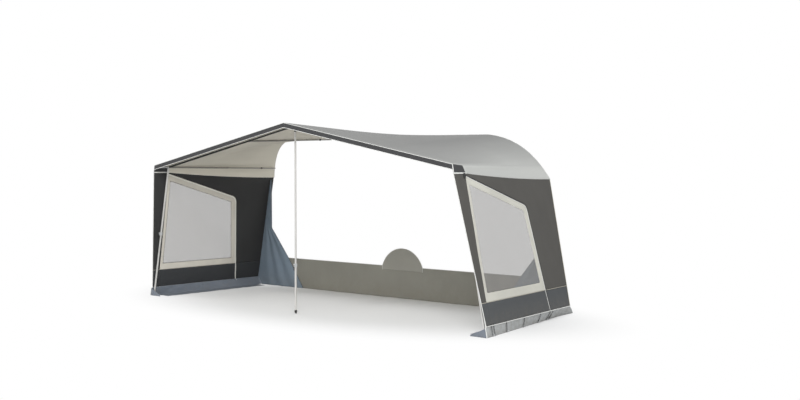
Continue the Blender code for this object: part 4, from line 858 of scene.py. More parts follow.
def roof_out(side, index, y):
    """The outside direction of the roof at a place."""
    a, b = max(0.05, index - 0.2), min(LAST_BAND - 0.01, index + 0.2)
    across = roof_place(side, b, y) - roof_place(side, a, y)
    low, high = max(-OVERHANG, y - 0.02), min(DEPTH, y + 0.02)
    along = roof_place(side, index, high) - roof_place(side, index, low)
    out = across.cross(along) * SIDES[side]
    return out.normalized() if out.z > 0 or index > LAST_SLOPE else -out.normalized()


def roof_stitches(side, places):
    """A row of stitches on the roof, through (index, y) places."""
    line = []
    for index, y in places:
        out = roof_out(side, index, y)
        line.append((roof_place(side, index, y) + out * STITCH_RISE, out))
    return line


def painted_roof_light(index, y):
    """How much painted light the roof cloth takes: most in the eave bands, less towards the front, a trace at the
    ridge.
    """
    hold = lerp(0.30, 1.0, clamp((y - 0.2) / 1.2))
    hold = lerp(hold, 1.0, clamp((index - 10.0) / 1.6))
    return by_knots(ROOF_PAINTED_LIGHT, index) * hold + 0.05 * max(0.0, 1.0 - max(0.0, y) / 1.1)


def make_roof():
    grid = [roof_row(y) for y in ROOF_ROWS + [DEPTH + KEDER_REACH - KEDER_RADIUS]]
    piece = add_cloth("roof_cloth_sheet", "roof_sheet", grid, [ROOF_OUT, ROOF_IN], Vector((0, 0, 1)), "roof_cloth",
                      "stretched", ["rail_bead", "peak_joint_finished", "slope_pole_outer_left_finished",
                                    "slope_pole_outer_right_finished"])
    # The pale attribute holds painted light, lightening the roof where light falls on it more
    pale = piece.data.attributes.new("pale", "FLOAT", "POINT")
    middle = len(FINE) - 1
    pale.data.foreach_set("value", [painted_roof_light(abs(j - middle) / 4, p.y) for row in grid for j, p in enumerate(row)])


def make_rail_bead():
    drop = Vector((0.0, 0.0, -CLOTH / 2))
    guide = facing([p + drop for p in roof_row(DEPTH + KEDER_REACH)], (0.0, 0.0, 1.0))
    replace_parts(bead("rail_bead", [guide], KEDER_RADIUS, sides=10), "rail_keder")


def fascia_line(side, height, y):
    """A line along the fascia, a height over the roof's front edge."""
    run = (wall_x(-OVERHANG, CORNER_HEIGHT), CORNER_HEIGHT - PEAK_HEIGHT)
    peak = PEAK_HEIGHT + height
    x, z = crossing((0.0, peak), run, (wall_x(y, 0.0), 0.0), (-WALL_LEAN, EAVE_HEIGHT))
    return [Vector((SIDES[side] * lerp(SHEET_GAP / 2, x, t), y, lerp(peak, z, t))) for t in evenly(70)]


def make_fascia(side):
    middle = -OVERHANG - SHEET_GAP - PIPING_RADIUS
    front = middle - CLOTH / 2
    top, foot = -PIPING_RADIUS, PIPING_RADIUS - FASCIA_HEIGHT
    grid = []
    for t in evenly(8):
        height = lerp(top, foot, t)
        line = fascia_line(side, height, front)
        hold = math.sin(math.pi * t)
        for p in line:
            p.y += hold * (drift(p.x * 5.0, height * 9.0, 2.0) * 0.0016) - 0.0004 * hold
        grid.append(line)
    add_cloth(f"fascia_strip_{side}", f"fascia_{side}", grid, [FASCIA_CLOTH, FASCIA_CLOTH], Vector((0, -1, 0)),
              "dark_cloth", "stretched", ["roof_cloth_sheet"])
    bead(f"fascia_piping_{side}", [facing(fascia_line(side, height, middle)) for height in (top, foot)],
         PIPING_RADIUS)
    for height in (top - SEAM_ROW, foot + SEAM_ROW):
        STITCHES["dark"].append(facing(fascia_line(side, height, front - STITCH_RISE)))


# Side walls

def make_front_strip(side):
    heights = spaced(FLAP_HEIGHT, WINDOW_SEAM_HEIGHT, 14)[:-1]
    heights += spaced(WINDOW_SEAM_HEIGHT, EAVE_HEIGHT - PANEL_GAP, 76)
    front = [(front_edge_y(z), z) for z in heights]
    rear = [(hinge_y(z) - SHEET_GAP, z) for z in heights]
    strip = wall_sheet(side, "front_strip_cloth", "front_strip", wall_grid(side, front, rear, 12),
                       [WALL_OUT, LOWER_OUT, WALL_IN, LOWER_IN], "wall_cloth")
    for face in strip.data.polygons:
        face.material_index = 1 if face.center.z < WINDOW_SEAM_HEIGHT else 0
    stitch_wall(side, [(y + WIDE_HEM_ROW, z) for y, z in front])
    stitch_wall(side, [(y - 0.008, z) for y, z in rear])
    wing = WING_PLACE - 0.003
    wrapped = [Vector((SIDES[side] * (wall_x(wing, z) + 0.002), wing, z)) for z in (0.006, 0.06, WING_HEIGHT)]
    PIPED[side].append(facing(wrapped, wall_normal(SIDES[side]))
                       + wall_line(side, [(y - 0.003, z) for y, z in front], -0.0012))
    z = WINDOW_SEAM_HEIGHT
    TAPED[side].append(wall_line(side, [(front_edge_y(z), z), (hinge_y(z) - 0.007, z)], -0.0008))


def make_corner_return(side):
    """The cloth that closes the side of the overhang, between the roof's edge and the eave."""
    under = 0.0008
    front = -OVERHANG - 0.0032
    foot = EAVE_HEIGHT + PANEL_GAP
    top = [(y, roof_edge_z(y) - under) for y in spaced(front, HIP_START, 8)]
    for y in spaced(HIP_START, EAVE_START, 6, first=1):
        z = roof_edge_z(y)
        if z - under > foot + 0.002:
            top.append((y - under * 0.8, z - under * 0.6))
    end = top[-1][0] + 0.004
    grid = wall_grid(side, resample([(front, foot), (end, foot)], 24), resample(top, 24), 8)
    wall_sheet(side, "corner_return_cloth", "corner_return", grid, [FASCIA_CLOTH, FASCIA_CLOTH], "dark_cloth",
               ["roof_cloth_sheet", f"front_strip_cloth_{side}"])
    edge, hem = -OVERHANG + 0.001, foot + 0.009
    PIPED[side] += [wall_line(side, [(-OVERHANG + 0.002, foot), (end, foot)], -0.001),
                    wall_line(side, [(edge, foot), (edge, CORNER_HEIGHT - 0.006)], -0.0045),
                    wall_line(side, [(-OVERHANG + 0.002, hem), (end - 0.006, hem)], CLOTH + 0.002)]


def make_rear_wall(side):
    path = zip_path(ZIP_EDGE, WINDOW_SEAM_HEIGHT)
    top = [(y, (eave_z(y) if y > EAVE_START else EAVE_HEIGHT) - 0.0006)
           for y in spaced(hinge_y(EAVE_HEIGHT) + SHEET_GAP, DEPTH, 72)]
    outer = top + [(DEPTH, z) for z in spaced(top[-1][1], WINDOW_SEAM_HEIGHT, 62, first=1)]
    wall_sheet(side, "rear_wall_cloth", "rear_wall", wall_grid(side, resample_bent(path, 72, 62), outer, 30),
               [WALL_OUT, WALL_IN], "wall_cloth")
    stitch_wall(side, zip_path(ZIP_EDGE + 0.005, WINDOW_SEAM_HEIGHT))
    hem, row = DEPTH - WIDE_HEM_ROW, WINDOW_SEAM_HEIGHT + SEAM_ROW
    stitch_wall(side, [(hem, top[-1][1] - HEM_ROW), (hem, FLAP_HEIGHT + HEM_ROW)])
    stitch_wall(side, [(path[-1][0] + ROW_END, row), (DEPTH - ROW_END, row)])
    rear, z = DEPTH - 0.003, WINDOW_SEAM_HEIGHT
    TAPED[side] += [wall_line(side, [(rear, eave_z(DEPTH) - 0.004), (rear, FLAP_HEIGHT)], -0.0020),
                    wall_line(side, [(path[-1][0] + 0.001, z), (DEPTH, z)], -0.0024)]


def make_rear_lower_panel(side):
    foot = resample([zip_path(ZIP_EDGE)[-1], (DEPTH, FLAP_HEIGHT)], 26)
    top = resample([zip_path(ZIP_EDGE, LOWER_TOP)[-1], (DEPTH, LOWER_TOP)], 26)
    wall_sheet(side, "rear_lower_cloth", "rear_lower_panel", wall_grid(side, foot, top, 14), [LOWER_OUT, LOWER_IN],
               "lower_cloth")
    row = FLAP_HEIGHT + HEM_ROW
    stitch_wall(side, [(foot[0][0] + ROW_END, row), (DEPTH - ROW_END, row)])


def make_window(side):
    """The zip-in panel: a frame of cream cloth with clear foil sewn into it, and a dark panel below."""
    sign = SIDES[side]
    body = key = f"window_{side}"
    start, knee, end = zip_corners(-ZIP_EDGE, WINDOW_SEAM_HEIGHT)
    corners = [(hinge_y(WINDOW_SEAM_HEIGHT) + SHEET_GAP, WINDOW_SEAM_HEIGHT), end, knee, start]
    radii = [PANEL_CORNER_RADIUS] * 4
    radii[2] = ZIP_CORNER_RADIUS - ZIP_WIDTH / 2 - SHEET_GAP
    outer = sided_loop(corners, radii)
    inner = sided_loop(moved_sides(corners, WINDOW_BORDERS), [WINDOW_CORNER_RADIUS] * 4)
    width = sum(WINDOW_BORDERS) / 4
    length = lengths_along([between(p, q, 0.5) for p, q in zip(outer, inner)])[-1]
    frame_cloth = wall_sheet(side, "window_frame_cloth", "window_frame", list(zip(*wall_grid(side, outer, inner, 8))),
                             [CREAM_OUT, CREAM_IN], "window_cloth", [f"front_strip_cloth_{side}"], body=body,
                             flat=(round(width * 1.3, 3), round(length, 3)), weld=True)
    lapped = moved_sides(corners, [border - FOIL_LAP for border in WINDOW_BORDERS])
    grid = []
    for a, b in zip(resample([lapped[0], lapped[3]], 46), resample([lapped[1], lapped[2]], 46)):
        row = []
        for t in evenly(56):
            y, z = between(a, b, t)
            edge = min(1.0, 8 * min(t, 1 - t))
            wave = drift(y * 3.0 + z, z * 2.2, 6.0 * sign) * 0.004
            wave += drift((y + z) * 6.0, (z - y) * 1.5, 2.0) * 0.0018
            row.append(on_wall(sign, y, z, CLOTH + FOIL_SETBACK + edge * (FOIL_HOLLOW + wave)))
        grid.append(row)
    wall_sheet(side, "window_foil_sheet", "window_foil", grid, [FOIL_CLEAR, FOIL_CLEAR], "clear_foil", [frame_cloth],
               body=body, thickness=FOIL)
    foot = resample([(hinge_y(FLAP_HEIGHT) + SHEET_GAP, FLAP_HEIGHT), zip_path(-ZIP_EDGE)[-1]], 60)
    top = resample([(hinge_y(LOWER_TOP) + SHEET_GAP, LOWER_TOP), zip_path(-ZIP_EDGE, LOWER_TOP)[-1]], 60)
    wall_sheet(side, "window_lower_cloth", "window_lower_panel", wall_grid(side, foot, top, 14),
               [LOWER_OUT, LOWER_IN], "lower_cloth", body=body)
    for reach in (0.004, 0.011):
        stitch_wall(side, sided_loop(moved_sides(corners, [border - reach for border in WINDOW_BORDERS]),
                                     [WINDOW_CORNER_RADIUS] * 4), key)
    stitch_wall(side, sided_loop(moved_sides(corners, [SEAM_ROW] * 4), radii), key)
    for line, z in ((top, WINDOW_SEAM_HEIGHT - SEAM_ROW), (foot, FLAP_HEIGHT + HEM_ROW)):
        stitch_wall(side, [(line[0][0] + ROW_END, z), (line[-1][0] - ROW_END, z)], key)
    seam = [(top[0][0] + 0.005, WINDOW_SEAM_HEIGHT), (top[-1][0], WINDOW_SEAM_HEIGHT)]
    bead(f"window_piping_{side}", [wall_line(side, seam, -0.0006)], WINDOW_PIPING, BINDING, sides=6, body=body)
    edge = zip_path(-ZIP_WIDTH / 2 - 0.0048)
    bead(f"window_binding_{side}", [wall_line(side, edge, CLOTH / 2)], WINDOW_BINDING, body=body)


def make_zip(side):
    edges = [resample_bent(zip_path(offset), 110, 110) for offset in (ZIP_WIDTH / 2, -ZIP_WIDTH / 2)]
    wall_sheet(side, "zip_tape", "zip_chain", wall_grid(side, *edges, 2), [DARK_ZIP, PALE_ZIP], "piping",
               [f"rear_wall_cloth_{side}"])
    grow(f"zip_teeth_{side}", "repeat", [wall_line(side, zip_path(0.0), -0.0004, count=400)], ZIP_TEETH, BLACK_TEETH)
    tail = [on_wall(SIDES[side], ZIP_FOOT + ZIP_TAIL_REACH * ease(k / 10), FLAP_HEIGHT - ZIP_TAIL_DROP * k / 10, 0.015)
            for k in range(11)]
    bead(f"zip_tail_{side}", [facing(tail, wall_normal(SIDES[side]))], ZIP_TAIL, sides=6)


def make_corner_ring(side):
    """A ring for the storm line on a short webbing loop at the front top corner."""
    sign = SIDES[side]
    out = wall_normal(sign)
    y, z = hinge_y(EAVE_HEIGHT) - 0.030, EAVE_HEIGHT + 0.006
    loops = [facing([on_wall(sign, y + step, z - STORM_LOOP_DROP * k / 6, -0.0062) for k in range(7)], out)
             for step in STORM_LOOP_STEPS]
    bead(f"storm_loop_{side}", loops, STORM_LOOP, BLACK, "dark_plastic")
    middle = on_wall(sign, y, z - 0.046, -0.008)
    ring = [middle + Vector((0.0, STORM_RING_REACH * math.sin(turn), STORM_RING_REACH * math.cos(turn)))
            for turn in FULL_TURN]
    bead(f"storm_ring_{side}", [facing(ring, out)], STORM_RING, BLACK, "dark_plastic")


# Mud flaps

def flap_foot_x(y):
    return wall_x(y, 0.0) - FLAP_SETBACK * max(y, 0.0) / DEPTH


def mud_flap_columns():
    """The flap's columns from front to rear: top, foot, and how far in the laid part reaches, where it has one."""
    columns = []
    tip = flap_foot_x(WING_PLACE) - WING_REACH
    for t in evenly(25):
        y = WING_PLACE + math.sin(math.pi * t) * 0.005 * math.sin(5.0 * t)
        top = (lerp(tip, wall_x(WING_PLACE, WING_HEIGHT), t), y, lerp(WING_TIP_HEIGHT, WING_HEIGHT, t))
        columns.append((top, (lerp(tip, wall_x(WING_PLACE, 0.0), t), y, FLAP_REST), None))
    for t in evenly(5)[1:-1]:
        y, z = lerp(WING_PLACE, 0.0, t), lerp(WING_HEIGHT, FLAP_TOP, t)
        columns.append(((wall_x(y, z), y, z), (flap_foot_x(y), y, FLAP_REST), None))
    for y in spaced(0.0, FLAP_LAY_END, 150):
        laid = wall_x(y, 0.0) - FLAP_REACH if y >= FLAP_LAY_START - 0.001 else None
        columns.append(((wall_x(y, FLAP_TOP), y, FLAP_TOP), (flap_foot_x(y), y, FLAP_REST), laid))
    end = DEPTH + FLAP_TAIL
    for t in evenly(24, first=1):
        y = lerp(FLAP_LAY_END, DEPTH, t)
        foot_x = lerp(flap_foot_x(FLAP_LAY_END), wall_x(end, 0.0) - TAIL_SETBACK, t)
        columns.append(((wall_x(y, FLAP_TOP), y, FLAP_TOP), (foot_x, lerp(FLAP_LAY_END, end, t), FLAP_REST), None))
    return columns


def make_mud_flap(side):
    """A curtain to the ground, its edge laid inwards, the front end wrapped before the leg."""
    sign = SIDES[side]
    columns = mud_flap_columns()
    grid = [[] for _ in range(DOWN_STEPS + LAID_STEPS + 1)]
    for high, low, laid in columns:
        y = high[1]
        place = min(LADDER_PLACES, key=lambda q: abs(q - y))
        near = math.exp(-((y - place) / 0.035) ** 2) if y > 0.02 else 0.0
        for row, t in zip(grid, evenly(DOWN_STEPS)):
            p = Vector(between(high, low, t))
            if y > -0.01:
                hold = math.sin(math.pi * min(1.0, t * 1.02))
                fold = drift(y * 9.0, t * 1.5, 4.0 * sign) * FLAP_FOLD
                fold += drift(y * 26.0, t * 2.0, 7.0 * sign) * FLAP_WRINKLE
                p.x += hold * (fold * (1.0 - 0.7 * near) + 0.003 - 0.006 * near)
                p.z = max(FLAP_REST, p.z)
            row.append(Vector((sign * p.x, p.y, p.z)))
        for row, t in zip(grid[DOWN_STEPS + 1:], evenly(LAID_STEPS, first=1)):
            if laid is None:
                row.append(grid[DOWN_STEPS][-1].copy())
                continue
            x = lerp(low[0], laid, t)
            lift = max(0.0, drift(x * 7.0, y * 6.0, 2.0 * sign) + 0.05)
            lift += max(0.0, drift(x * 16.0, y * 4.0, 5.0)) * 0.4
            lift *= min(1.0, 6 * t) * (0.35 + 0.65 * t)
            edge = drift(y * 3.0, 1.0, sign) * 0.010 * t
            row.append(Vector((sign * (x + edge), y, FLAP_REST + LAID_LIFT * lift)))

    def cells(i, j):
        return i < DOWN_STEPS or (columns[j][2] is not None and columns[j + 1][2] is not None)

    flap = wall_sheet(side, "mud_flap_cloth", "mud_flap", grid, [MUD_PAINTED_LIGHT, MUD_PAINTED_SHADE], "mud_cloth",
                      [f"rear_lower_cloth_{side}", f"front_strip_cloth_{side}"], "hung", cells=cells,
                      outer_rows=DOWN_STEPS)
    # The wrapped front end takes the painted-shade inside finish on its outer face too
    for face in flap.data.polygons:
        face.material_index = 1 if face.center.y + ORIGIN_SHIFT < WING_PLACE + 0.006 else 0
    PIPED[side].append(wall_line(side, [(front_edge_y(FLAP_HEIGHT), FLAP_HEIGHT), (DEPTH, FLAP_HEIGHT)], -0.0042))
    row = [Vector((sign * (wall_x(y, FLAP_TOP) + 0.0006), y, FLAP_TOP - SEAM_ROW))
           for y in spaced(0.0, DEPTH - 0.01, 200)]
    STITCHES["pale"].append(facing(row, wall_normal(sign)))


def make_ladders(side):
    """Rubber rings from a webbing tab at the foot of the wall down to a peg."""
    sign = SIDES[side]
    out = wall_normal(sign)
    rings, tabs, pegs = [], [], []
    for y in LADDER_PLACES:
        top = Vector((sign * (wall_x(y, FLAP_HEIGHT) + 0.007), y, FLAP_HEIGHT - 0.016))
        foot = Vector((sign * (flap_foot_x(y) + 0.012), y, 0.012))
        rings.append(facing(spaced(top, foot, 12), out))
        tabs.append(facing([Vector((sign * (wall_x(y, z) + 0.003), y, z))
                            for z in (FLAP_HEIGHT + rise for rise in LADDER_TAB_RISES)], out))
        peg = Vector((sign * (flap_foot_x(y) + 0.016), y, 0.001))
        hook = [peg]
        for k in range(11):
            turn = math.pi * k / 10
            reach, rise = PEG_BEND * (1 - math.cos(turn)), PEG_RISE + PEG_BEND * math.sin(turn)
            hook.append(peg + Vector((sign * reach, 0.0, rise)))
        pegs.append(facing(hook + [peg + Vector((sign * 2 * PEG_BEND, 0.0, 0.006))], out))
    grow(f"ladder_rings_{side}", "rings", rings, LADDER, RUBBER)
    bead(f"ladder_tabs_{side}", tabs, LADDER_TAB, BLACK, "dark_plastic", sides=6)
    bead(f"peg_hooks_{side}", pegs, PEG, PEG_STEEL, "pole_steel")


# Closures at the rear

def seal_outer_x(y, z):
    if z >= FLAP_HEIGHT:
        return wall_x(y, z) - SEAL_INSET
    return lerp(flap_foot_x(y) - SEAL_FOOT_INSET, wall_x(y, FLAP_HEIGHT) - SEAL_INSET, z / FLAP_HEIGHT)


def make_sealing_flap(side):
    sign = SIDES[side]
    grid, edge = [], []
    for fall in evenly(80):
        z = SEAL_TOP_HEIGHT * (1 - fall)
        outside, free = seal_outer_x(SEAL_PLACE, z), by_knots(SEAL_EDGE, z)
        row = []
        for t in evenly(72):
            hold = math.sin(math.pi * t)
            wander = 0.10 * drift(z * 1.4, t * 2.0, 3.0 * sign) * hold
            wave = math.sin(2 * math.pi * SEAL_FOLDS * (t + 0.25 * wander))
            depth = SEAL_FOLD_DEPTH * wave * min(1.0, 3 * t) * min(1.0, (outside - free) / SEAL_FULL_WIDTH)
            depth += 0.003 * drift(t * 9.0, z * 2.5, 8.0 * sign) * hold
            row.append(Vector((sign * lerp(outside, free, t), SEAL_PLACE + 0.001 + depth, max(z, GROUND_GAP))))
        grid.append(row)
        edge.append(Vector((row[-1].x, row[-1].y + 0.0006, max(0.0022, row[-1].z))))
    add_cloth(f"sealing_flap_cloth_{side}", f"sealing_flap_{side}", grid, [SEAL_CLOTH, SEAL_CLOTH], Vector((0, -1, 0)),
              "seal_cloth", "hung", [f"rear_wall_cloth_{side}"])
    bead(f"sealing_flap_edge_{side}", [facing(edge)], SEAL_BINDING, BLACK, "seal_cloth", sides=6)
    rise = Vector((0.0, -STITCH_RISE, 0.0))
    STITCHES["dark"] += [facing([row[j] + rise for row in grid[:-1]]) for j in (-2, 2)]


def skirt_place(x, z):
    """The skirt hangs from its straight top edge in folds that open towards the ground."""
    wave = math.cos(2 * math.pi * SKIRT_FOLDS * (x + SKIRT_HALF_LENGTH) / (2 * SKIRT_HALF_LENGTH))
    wave *= clamp((SKIRT_HALF_LENGTH - abs(x)) / SKIRT_FLAT_LENGTH - 1.0)
    wrinkle = drift(x * 6.0, z * 2.0, 3.0) * 0.003
    return SKIRT_PLACE + (SKIRT_FOLD_DEPTH * wave + wrinkle) * (1.0 - z / SKIRT_HEIGHT)


def make_skirt():
    top = SKIRT_HEIGHT - HEM_RADIUS
    grid = [[Vector((x, skirt_place(x, z) - CLOTH / 2, z)) for x in spaced(-SKIRT_HALF_LENGTH, SKIRT_HALF_LENGTH, 300)]
            for z in (max(GROUND_GAP, top * (1 - fall)) for fall in evenly(30))]
    add_cloth("draught_skirt_cloth", "draught_skirt", grid, [SKIRT_CLOTH, SKIRT_CLOTH], Vector((0, -1, 0)),
              "skirt_cloth", "hung", ["skirt_bead"])
    bead("skirt_bead", [facing([Vector((p.x, SKIRT_PLACE, top)) for p in grid[0]])], SKIRT_BEAD, slot="skirt_cloth")
    for z in (top - HEM_ROW, 0.018):
        STITCHES["pale"].append(facing([Vector((p.x, skirt_place(p.x, z) - CLOTH / 2 - STITCH_RISE, z))
                                        for p in grid[0]]))


def make_arch_cover():
    """The bow-shaped apron on the skirt, with a bound edge."""
    rise = ARCH_TOP_HEIGHT - SKIRT_HEIGHT
    radius = (ARCH_HALF_WIDTH ** 2 + rise ** 2) / (2 * rise)
    middle = ARCH_TOP_HEIGHT - radius
    opening = math.asin(ARCH_HALF_WIDTH / radius)
    back = SKIRT_PLACE - SKIRT_ROOM - SHEET_GAP - CLOTH
    high = [Vector((ARCH_PLACE + radius * math.sin(turn), back, middle + radius * math.cos(turn)))
            for turn in spaced(-opening, opening, 48)]
    low = [Vector((x, back, SKIRT_HEIGHT - ARCH_LAP))
           for x in spaced(ARCH_PLACE - ARCH_HALF_WIDTH, ARCH_PLACE + ARCH_HALF_WIDTH, 48)]
    grid = []
    for t in evenly(18):
        row = [lerp(p, q, t) for p, q in zip(high, low)]
        for j, p in enumerate(row):
            hold = math.sin(math.pi * t) * math.sin(math.pi * j / 48)
            p.y += hold * (0.004 * drift(p.x * 7.0, p.z * 5.0, 1.0) - 0.002)
        grid.append(row)
    add_cloth("wheel_arch_cloth", "wheel_arch_cover", grid, [ARCH_CLOTH, ARCH_CLOTH], Vector((0, -1, 0)),
              "skirt_cloth", "hung", ["draught_skirt_cloth"])
    bead("wheel_arch_binding", [facing([low[0], *high, low[-1]])], ARCH_BINDING)


# Loops that hold the roof poles to the cloth

def rim_middle(places, near, far):
    """The middle of a tube's rim that lies between two distances from its far end."""
    last = max(p.y for p in places)
    rim = [p for p in places if near <= last - p.y <= far]
    return Vector([(min(p[i] for p in rim) + max(p[i] for p in rim)) / 2 for i in range(3)])


def make_pole_loops():
    """Five turns of webbing cord round each inner tube, which slides through them."""
    turns = []
    for node_name, node in frame["nodes"].items():
        if node_name.startswith("roof_pole_outer_"):
            places = [v.co for v in node.data.vertices]
            tip, collar = rim_middle(places, 0.0, 0.012), rim_middle(places, 0.028, 0.052)
            onward = (tip - collar).normalized()
            across = onward.cross(Vector((0.0, 0.0, 1.0))).normalized()
            up = across.cross(onward)
            spokes = [across * math.cos(turn) + up * math.sin(turn) for turn in FULL_TURN]
            tip.y += ORIGIN_SHIFT
            for step in range(-2, 3):
                middle = tip + onward * (POLE_LOOP_REACH + step * 2 * POLE_LOOP_CORD)
                turns.append(facing([middle + spoke * POLE_LOOP_RADIUS for spoke in spokes], onward))
    bead("roof_pole_loops", turns, POLE_LOOP_CORD, BLACK, "dark_plastic", sides=6)


make_roof()
make_rail_bead()
for side_name in SIDES:
    make_fascia(side_name)
    make_front_strip(side_name)
    make_corner_return(side_name)
    make_rear_wall(side_name)
    make_rear_lower_panel(side_name)
    make_window(side_name)
    make_zip(side_name)
    make_corner_ring(side_name)
    make_mud_flap(side_name)
    make_ladders(side_name)
    make_sealing_flap(side_name)
make_skirt()
make_arch_cover()
make_pole_loops()

for side_name in SIDES:
    bead(f"wall_piping_{side_name}", PIPED[side_name], WALL_PIPING)
    bead(f"wall_seam_cord_{side_name}", TAPED[side_name], SEAM_CORD, BINDING, sides=7)
ROOF_SEAMS = [[(index, y) for y in spaced(-OVERHANG + ROW_END, DEPTH - ROW_END, 120)]
              for index in (MIDDLE_POLE, LAST_SLOPE)]
ROOF_SEAMS += [[(index, y) for index in spaced(0.0, LAST_BAND - 0.15, 90)]
               for y in (-OVERHANG + HEM_ROW, DEPTH - WIDE_HEM_ROW)]
STITCHES["pale"] += [roof_stitches(side_name, places) for side_name in SIDES for places in ROOF_SEAMS]
grow("seam_stitches_dark", "repeat", STITCHES["dark"], STITCH, DARK_THREAD)
grow("seam_stitches_pale", "repeat", STITCHES["pale"], STITCH, PALE_THREAD)
for side_name in SIDES:
    grow(f"window_stitches_{side_name}", "repeat", STITCHES[f"window_{side_name}"], STITCH, PALE_THREAD,
         f"window_{side_name}")


# The frame's own poles, joints, clamps and sliders

RIGID_FINISHES = {"pole_steel": POLE, "joint_plastic": JOINT, "dark_plastic": BLACK, "piping": PIPING}
# Painted shade: poles under the roof take darker copies of the pole steel
PAINTED_SHADE_TUBES = {"slope_pole": SLOPE_POLE_PAINTED_SHADE, "roof_pole": ROOF_POLE_PAINTED_SHADE}
ROUND_BELOW = math.radians(40)
EDGE_ROUNDING = 0.0005


def rigid_finish(node_name, base):
    for start, finish in PAINTED_SHADE_TUBES.items():
        if node_name.startswith(start) and base == "pole_steel":
            return finish
    return RIGID_FINISHES[base]


def finish_rigid(node_name, node, body):
    """A node's own shape with its faces joined, its round sides smooth and its edges a little worn."""
    shape = bmesh.new()
    shape.from_mesh(node.data)
    bmesh.ops.remove_doubles(shape, verts=shape.verts, dist=2e-6)
    bmesh.ops.dissolve_limit(shape, angle_limit=math.radians(0.3), verts=shape.verts, edges=shape.edges)
    for edge in shape.edges:
        edge.smooth = edge.calc_face_angle(math.pi) < ROUND_BELOW
    for face in shape.faces:
        face.smooth = True
    mesh = bpy.data.meshes.new(f"{node_name}_finished")
    shape.to_mesh(mesh)
    shape.free()
    bases = [place.material.name.split(".")[0] for place in node.material_slots]
    for base in bases:
        mesh.materials.append(rigid_finish(node_name, base))
    piece = add_piece(f"{node_name}_finished", mesh, body)
    worn = piece.modifiers.new("worn edges", "BEVEL")
    worn.width = EDGE_ROUNDING
    worn.segments = 2
    worn.limit_method = "ANGLE"
    worn.angle_limit = ROUND_BELOW
    worn.harden_normals = True
    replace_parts(piece, node_name)


BODY_NAMES = {empty: body_name for body_name, empty in frame["bodies"].items()}
for frame_name, frame_node in frame["nodes"].items():
    if not frame_node.hide_render:
        finish_rigid(frame_name, frame_node, BODY_NAMES[frame_node.parent])


# Floor, light and camera

FLOOR_REACH = 60.0
FLOOR_COLOUR = (0.74, 0.74, 0.735)
FADE_OVAL = (0.28, 0.54, 0.0)
FADE_START, FADE_END = 0.62, 1.35
WORLD_COLOUR, WORLD_STRENGTH = (0.96, 0.98, 1.0), 0.62
LAMPS = {"key": ((7.0, -9.0, 9.0), 6.0, 900.0), "fill": ((-9.0, -6.0, 7.0), 7.0, 350.0),
         "rear": ((2.0, 11.0, 8.0), 7.0, 350.0)}             # place, size and power
LAMP_AIM = Vector((0.0, 0.0, 1.2))
CAMERA_LENS = 44.25
CAMERA_PLACE = (9.9471, -10.0085, 2.053)
CAMERA_TURN, CAMERA_DIP = -0.6764, 0.0305


def seen_directly(tree):
    """One for rays that show a surface to the eye: straight, mirrored or through the foil."""
    rays = add_node(tree, "ShaderNodeLightPath").outputs
    seen = rays["Is Camera Ray"]
    for name in ("Is Glossy Ray", "Is Transmission Ray"):
        seen = combine(tree, "ShaderNodeMath", seen, rays[name], settings={"operation": "MAXIMUM"})
    return seen


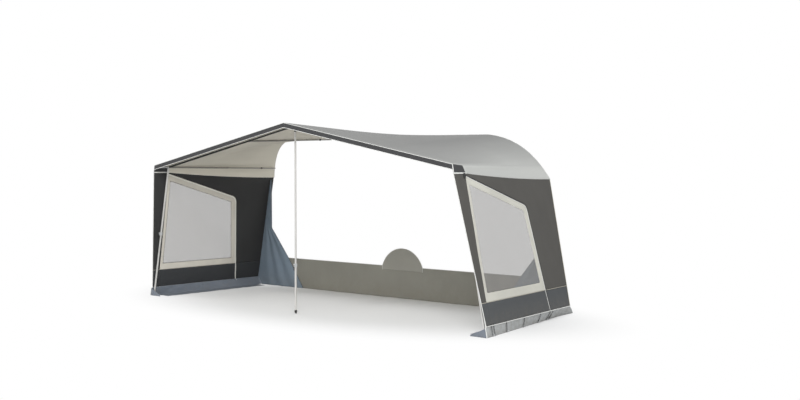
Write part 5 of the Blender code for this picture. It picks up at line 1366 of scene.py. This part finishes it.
def floor_finish():
    """A pale floor that runs into the white background well outside the object and its shadow."""
    f = Finish("floor", 0.9)
    f.set(Base_Color=shade(FLOOR_COLOUR))
    oval = f.add("ShaderNodeMapping", Vector=f.place["Object"], Scale=FADE_OVAL)
    reach = f.add("ShaderNodeVectorMath", {"operation": "LENGTH"}, Vector=oval.outputs["Vector"])
    far = f.add("ShaderNodeMapRange", {"interpolation_type": "SMOOTHSTEP"}, Value=reach.outputs["Value"],
                From_Min=FADE_START, From_Max=FADE_END)
    white = f.add("ShaderNodeEmission")
    faded = combine(f.tree, "ShaderNodeMixShader", f.shader.outputs["BSDF"], white.outputs["Emission"], first=1,
                    Fac=f.multiply(far.outputs["Result"], seen_directly(f.tree)))
    feed(f.tree, f.tree.nodes["Material Output"].inputs["Surface"], faded)
    return f.material


def make_floor():
    mesh = bpy.data.meshes.new("floor")
    corners = [(x * FLOOR_REACH, y * FLOOR_REACH, 0.0) for x, y in ((-1, -1), (1, -1), (1, 1), (-1, 1))]
    mesh.from_pydata(corners, [], [(0, 1, 2, 3)])
    mesh.materials.append(floor_finish())
    floor = bpy.data.objects.new("floor", mesh)
    bpy.context.scene.collection.objects.link(floor)


def make_light():
    world = bpy.data.worlds.new("studio")
    bpy.context.scene.world = world
    world.use_nodes = True
    tree = world.node_tree
    tree.nodes.clear()
    soft, white = (add_node(tree, "ShaderNodeBackground", Color=shade(colour), Strength=strength)
                   for colour, strength in ((WORLD_COLOUR, WORLD_STRENGTH), ((1.0, 1.0, 1.0), 1.0)))
    add_node(tree, "ShaderNodeOutputWorld", Surface=combine(
        tree, "ShaderNodeMixShader", soft.outputs["Background"], white.outputs["Background"], first=1,
        Fac=seen_directly(tree)))
    for name, (place, size, power) in LAMPS.items():
        lamp = bpy.data.lights.new(name, "AREA")
        lamp.shape = "DISK"
        lamp.size = size
        lamp.energy = power
        thing = bpy.data.objects.new(name, lamp)
        thing.location = place
        thing.rotation_euler = (LAMP_AIM - Vector(place)).to_track_quat("-Z", "Y").to_euler()
        bpy.context.scene.collection.objects.link(thing)


def make_camera():
    data = bpy.data.cameras.new("camera")
    data.lens = CAMERA_LENS
    data.sensor_width = 36.0
    data.clip_end = 200.0
    camera = bpy.data.objects.new("camera", data)
    camera.location = moved_back(CAMERA_PLACE)
    way = Vector((math.sin(CAMERA_TURN) * math.cos(CAMERA_DIP), math.cos(CAMERA_TURN) * math.cos(CAMERA_DIP),
                  -math.sin(CAMERA_DIP)))
    camera.rotation_euler = way.to_track_quat("-Z", "Y").to_euler()
    bpy.context.scene.collection.objects.link(camera)
    bpy.context.scene.camera = camera


make_floor()
make_light()
make_camera()
bpy.context.scene.view_settings.view_transform = "Standard"
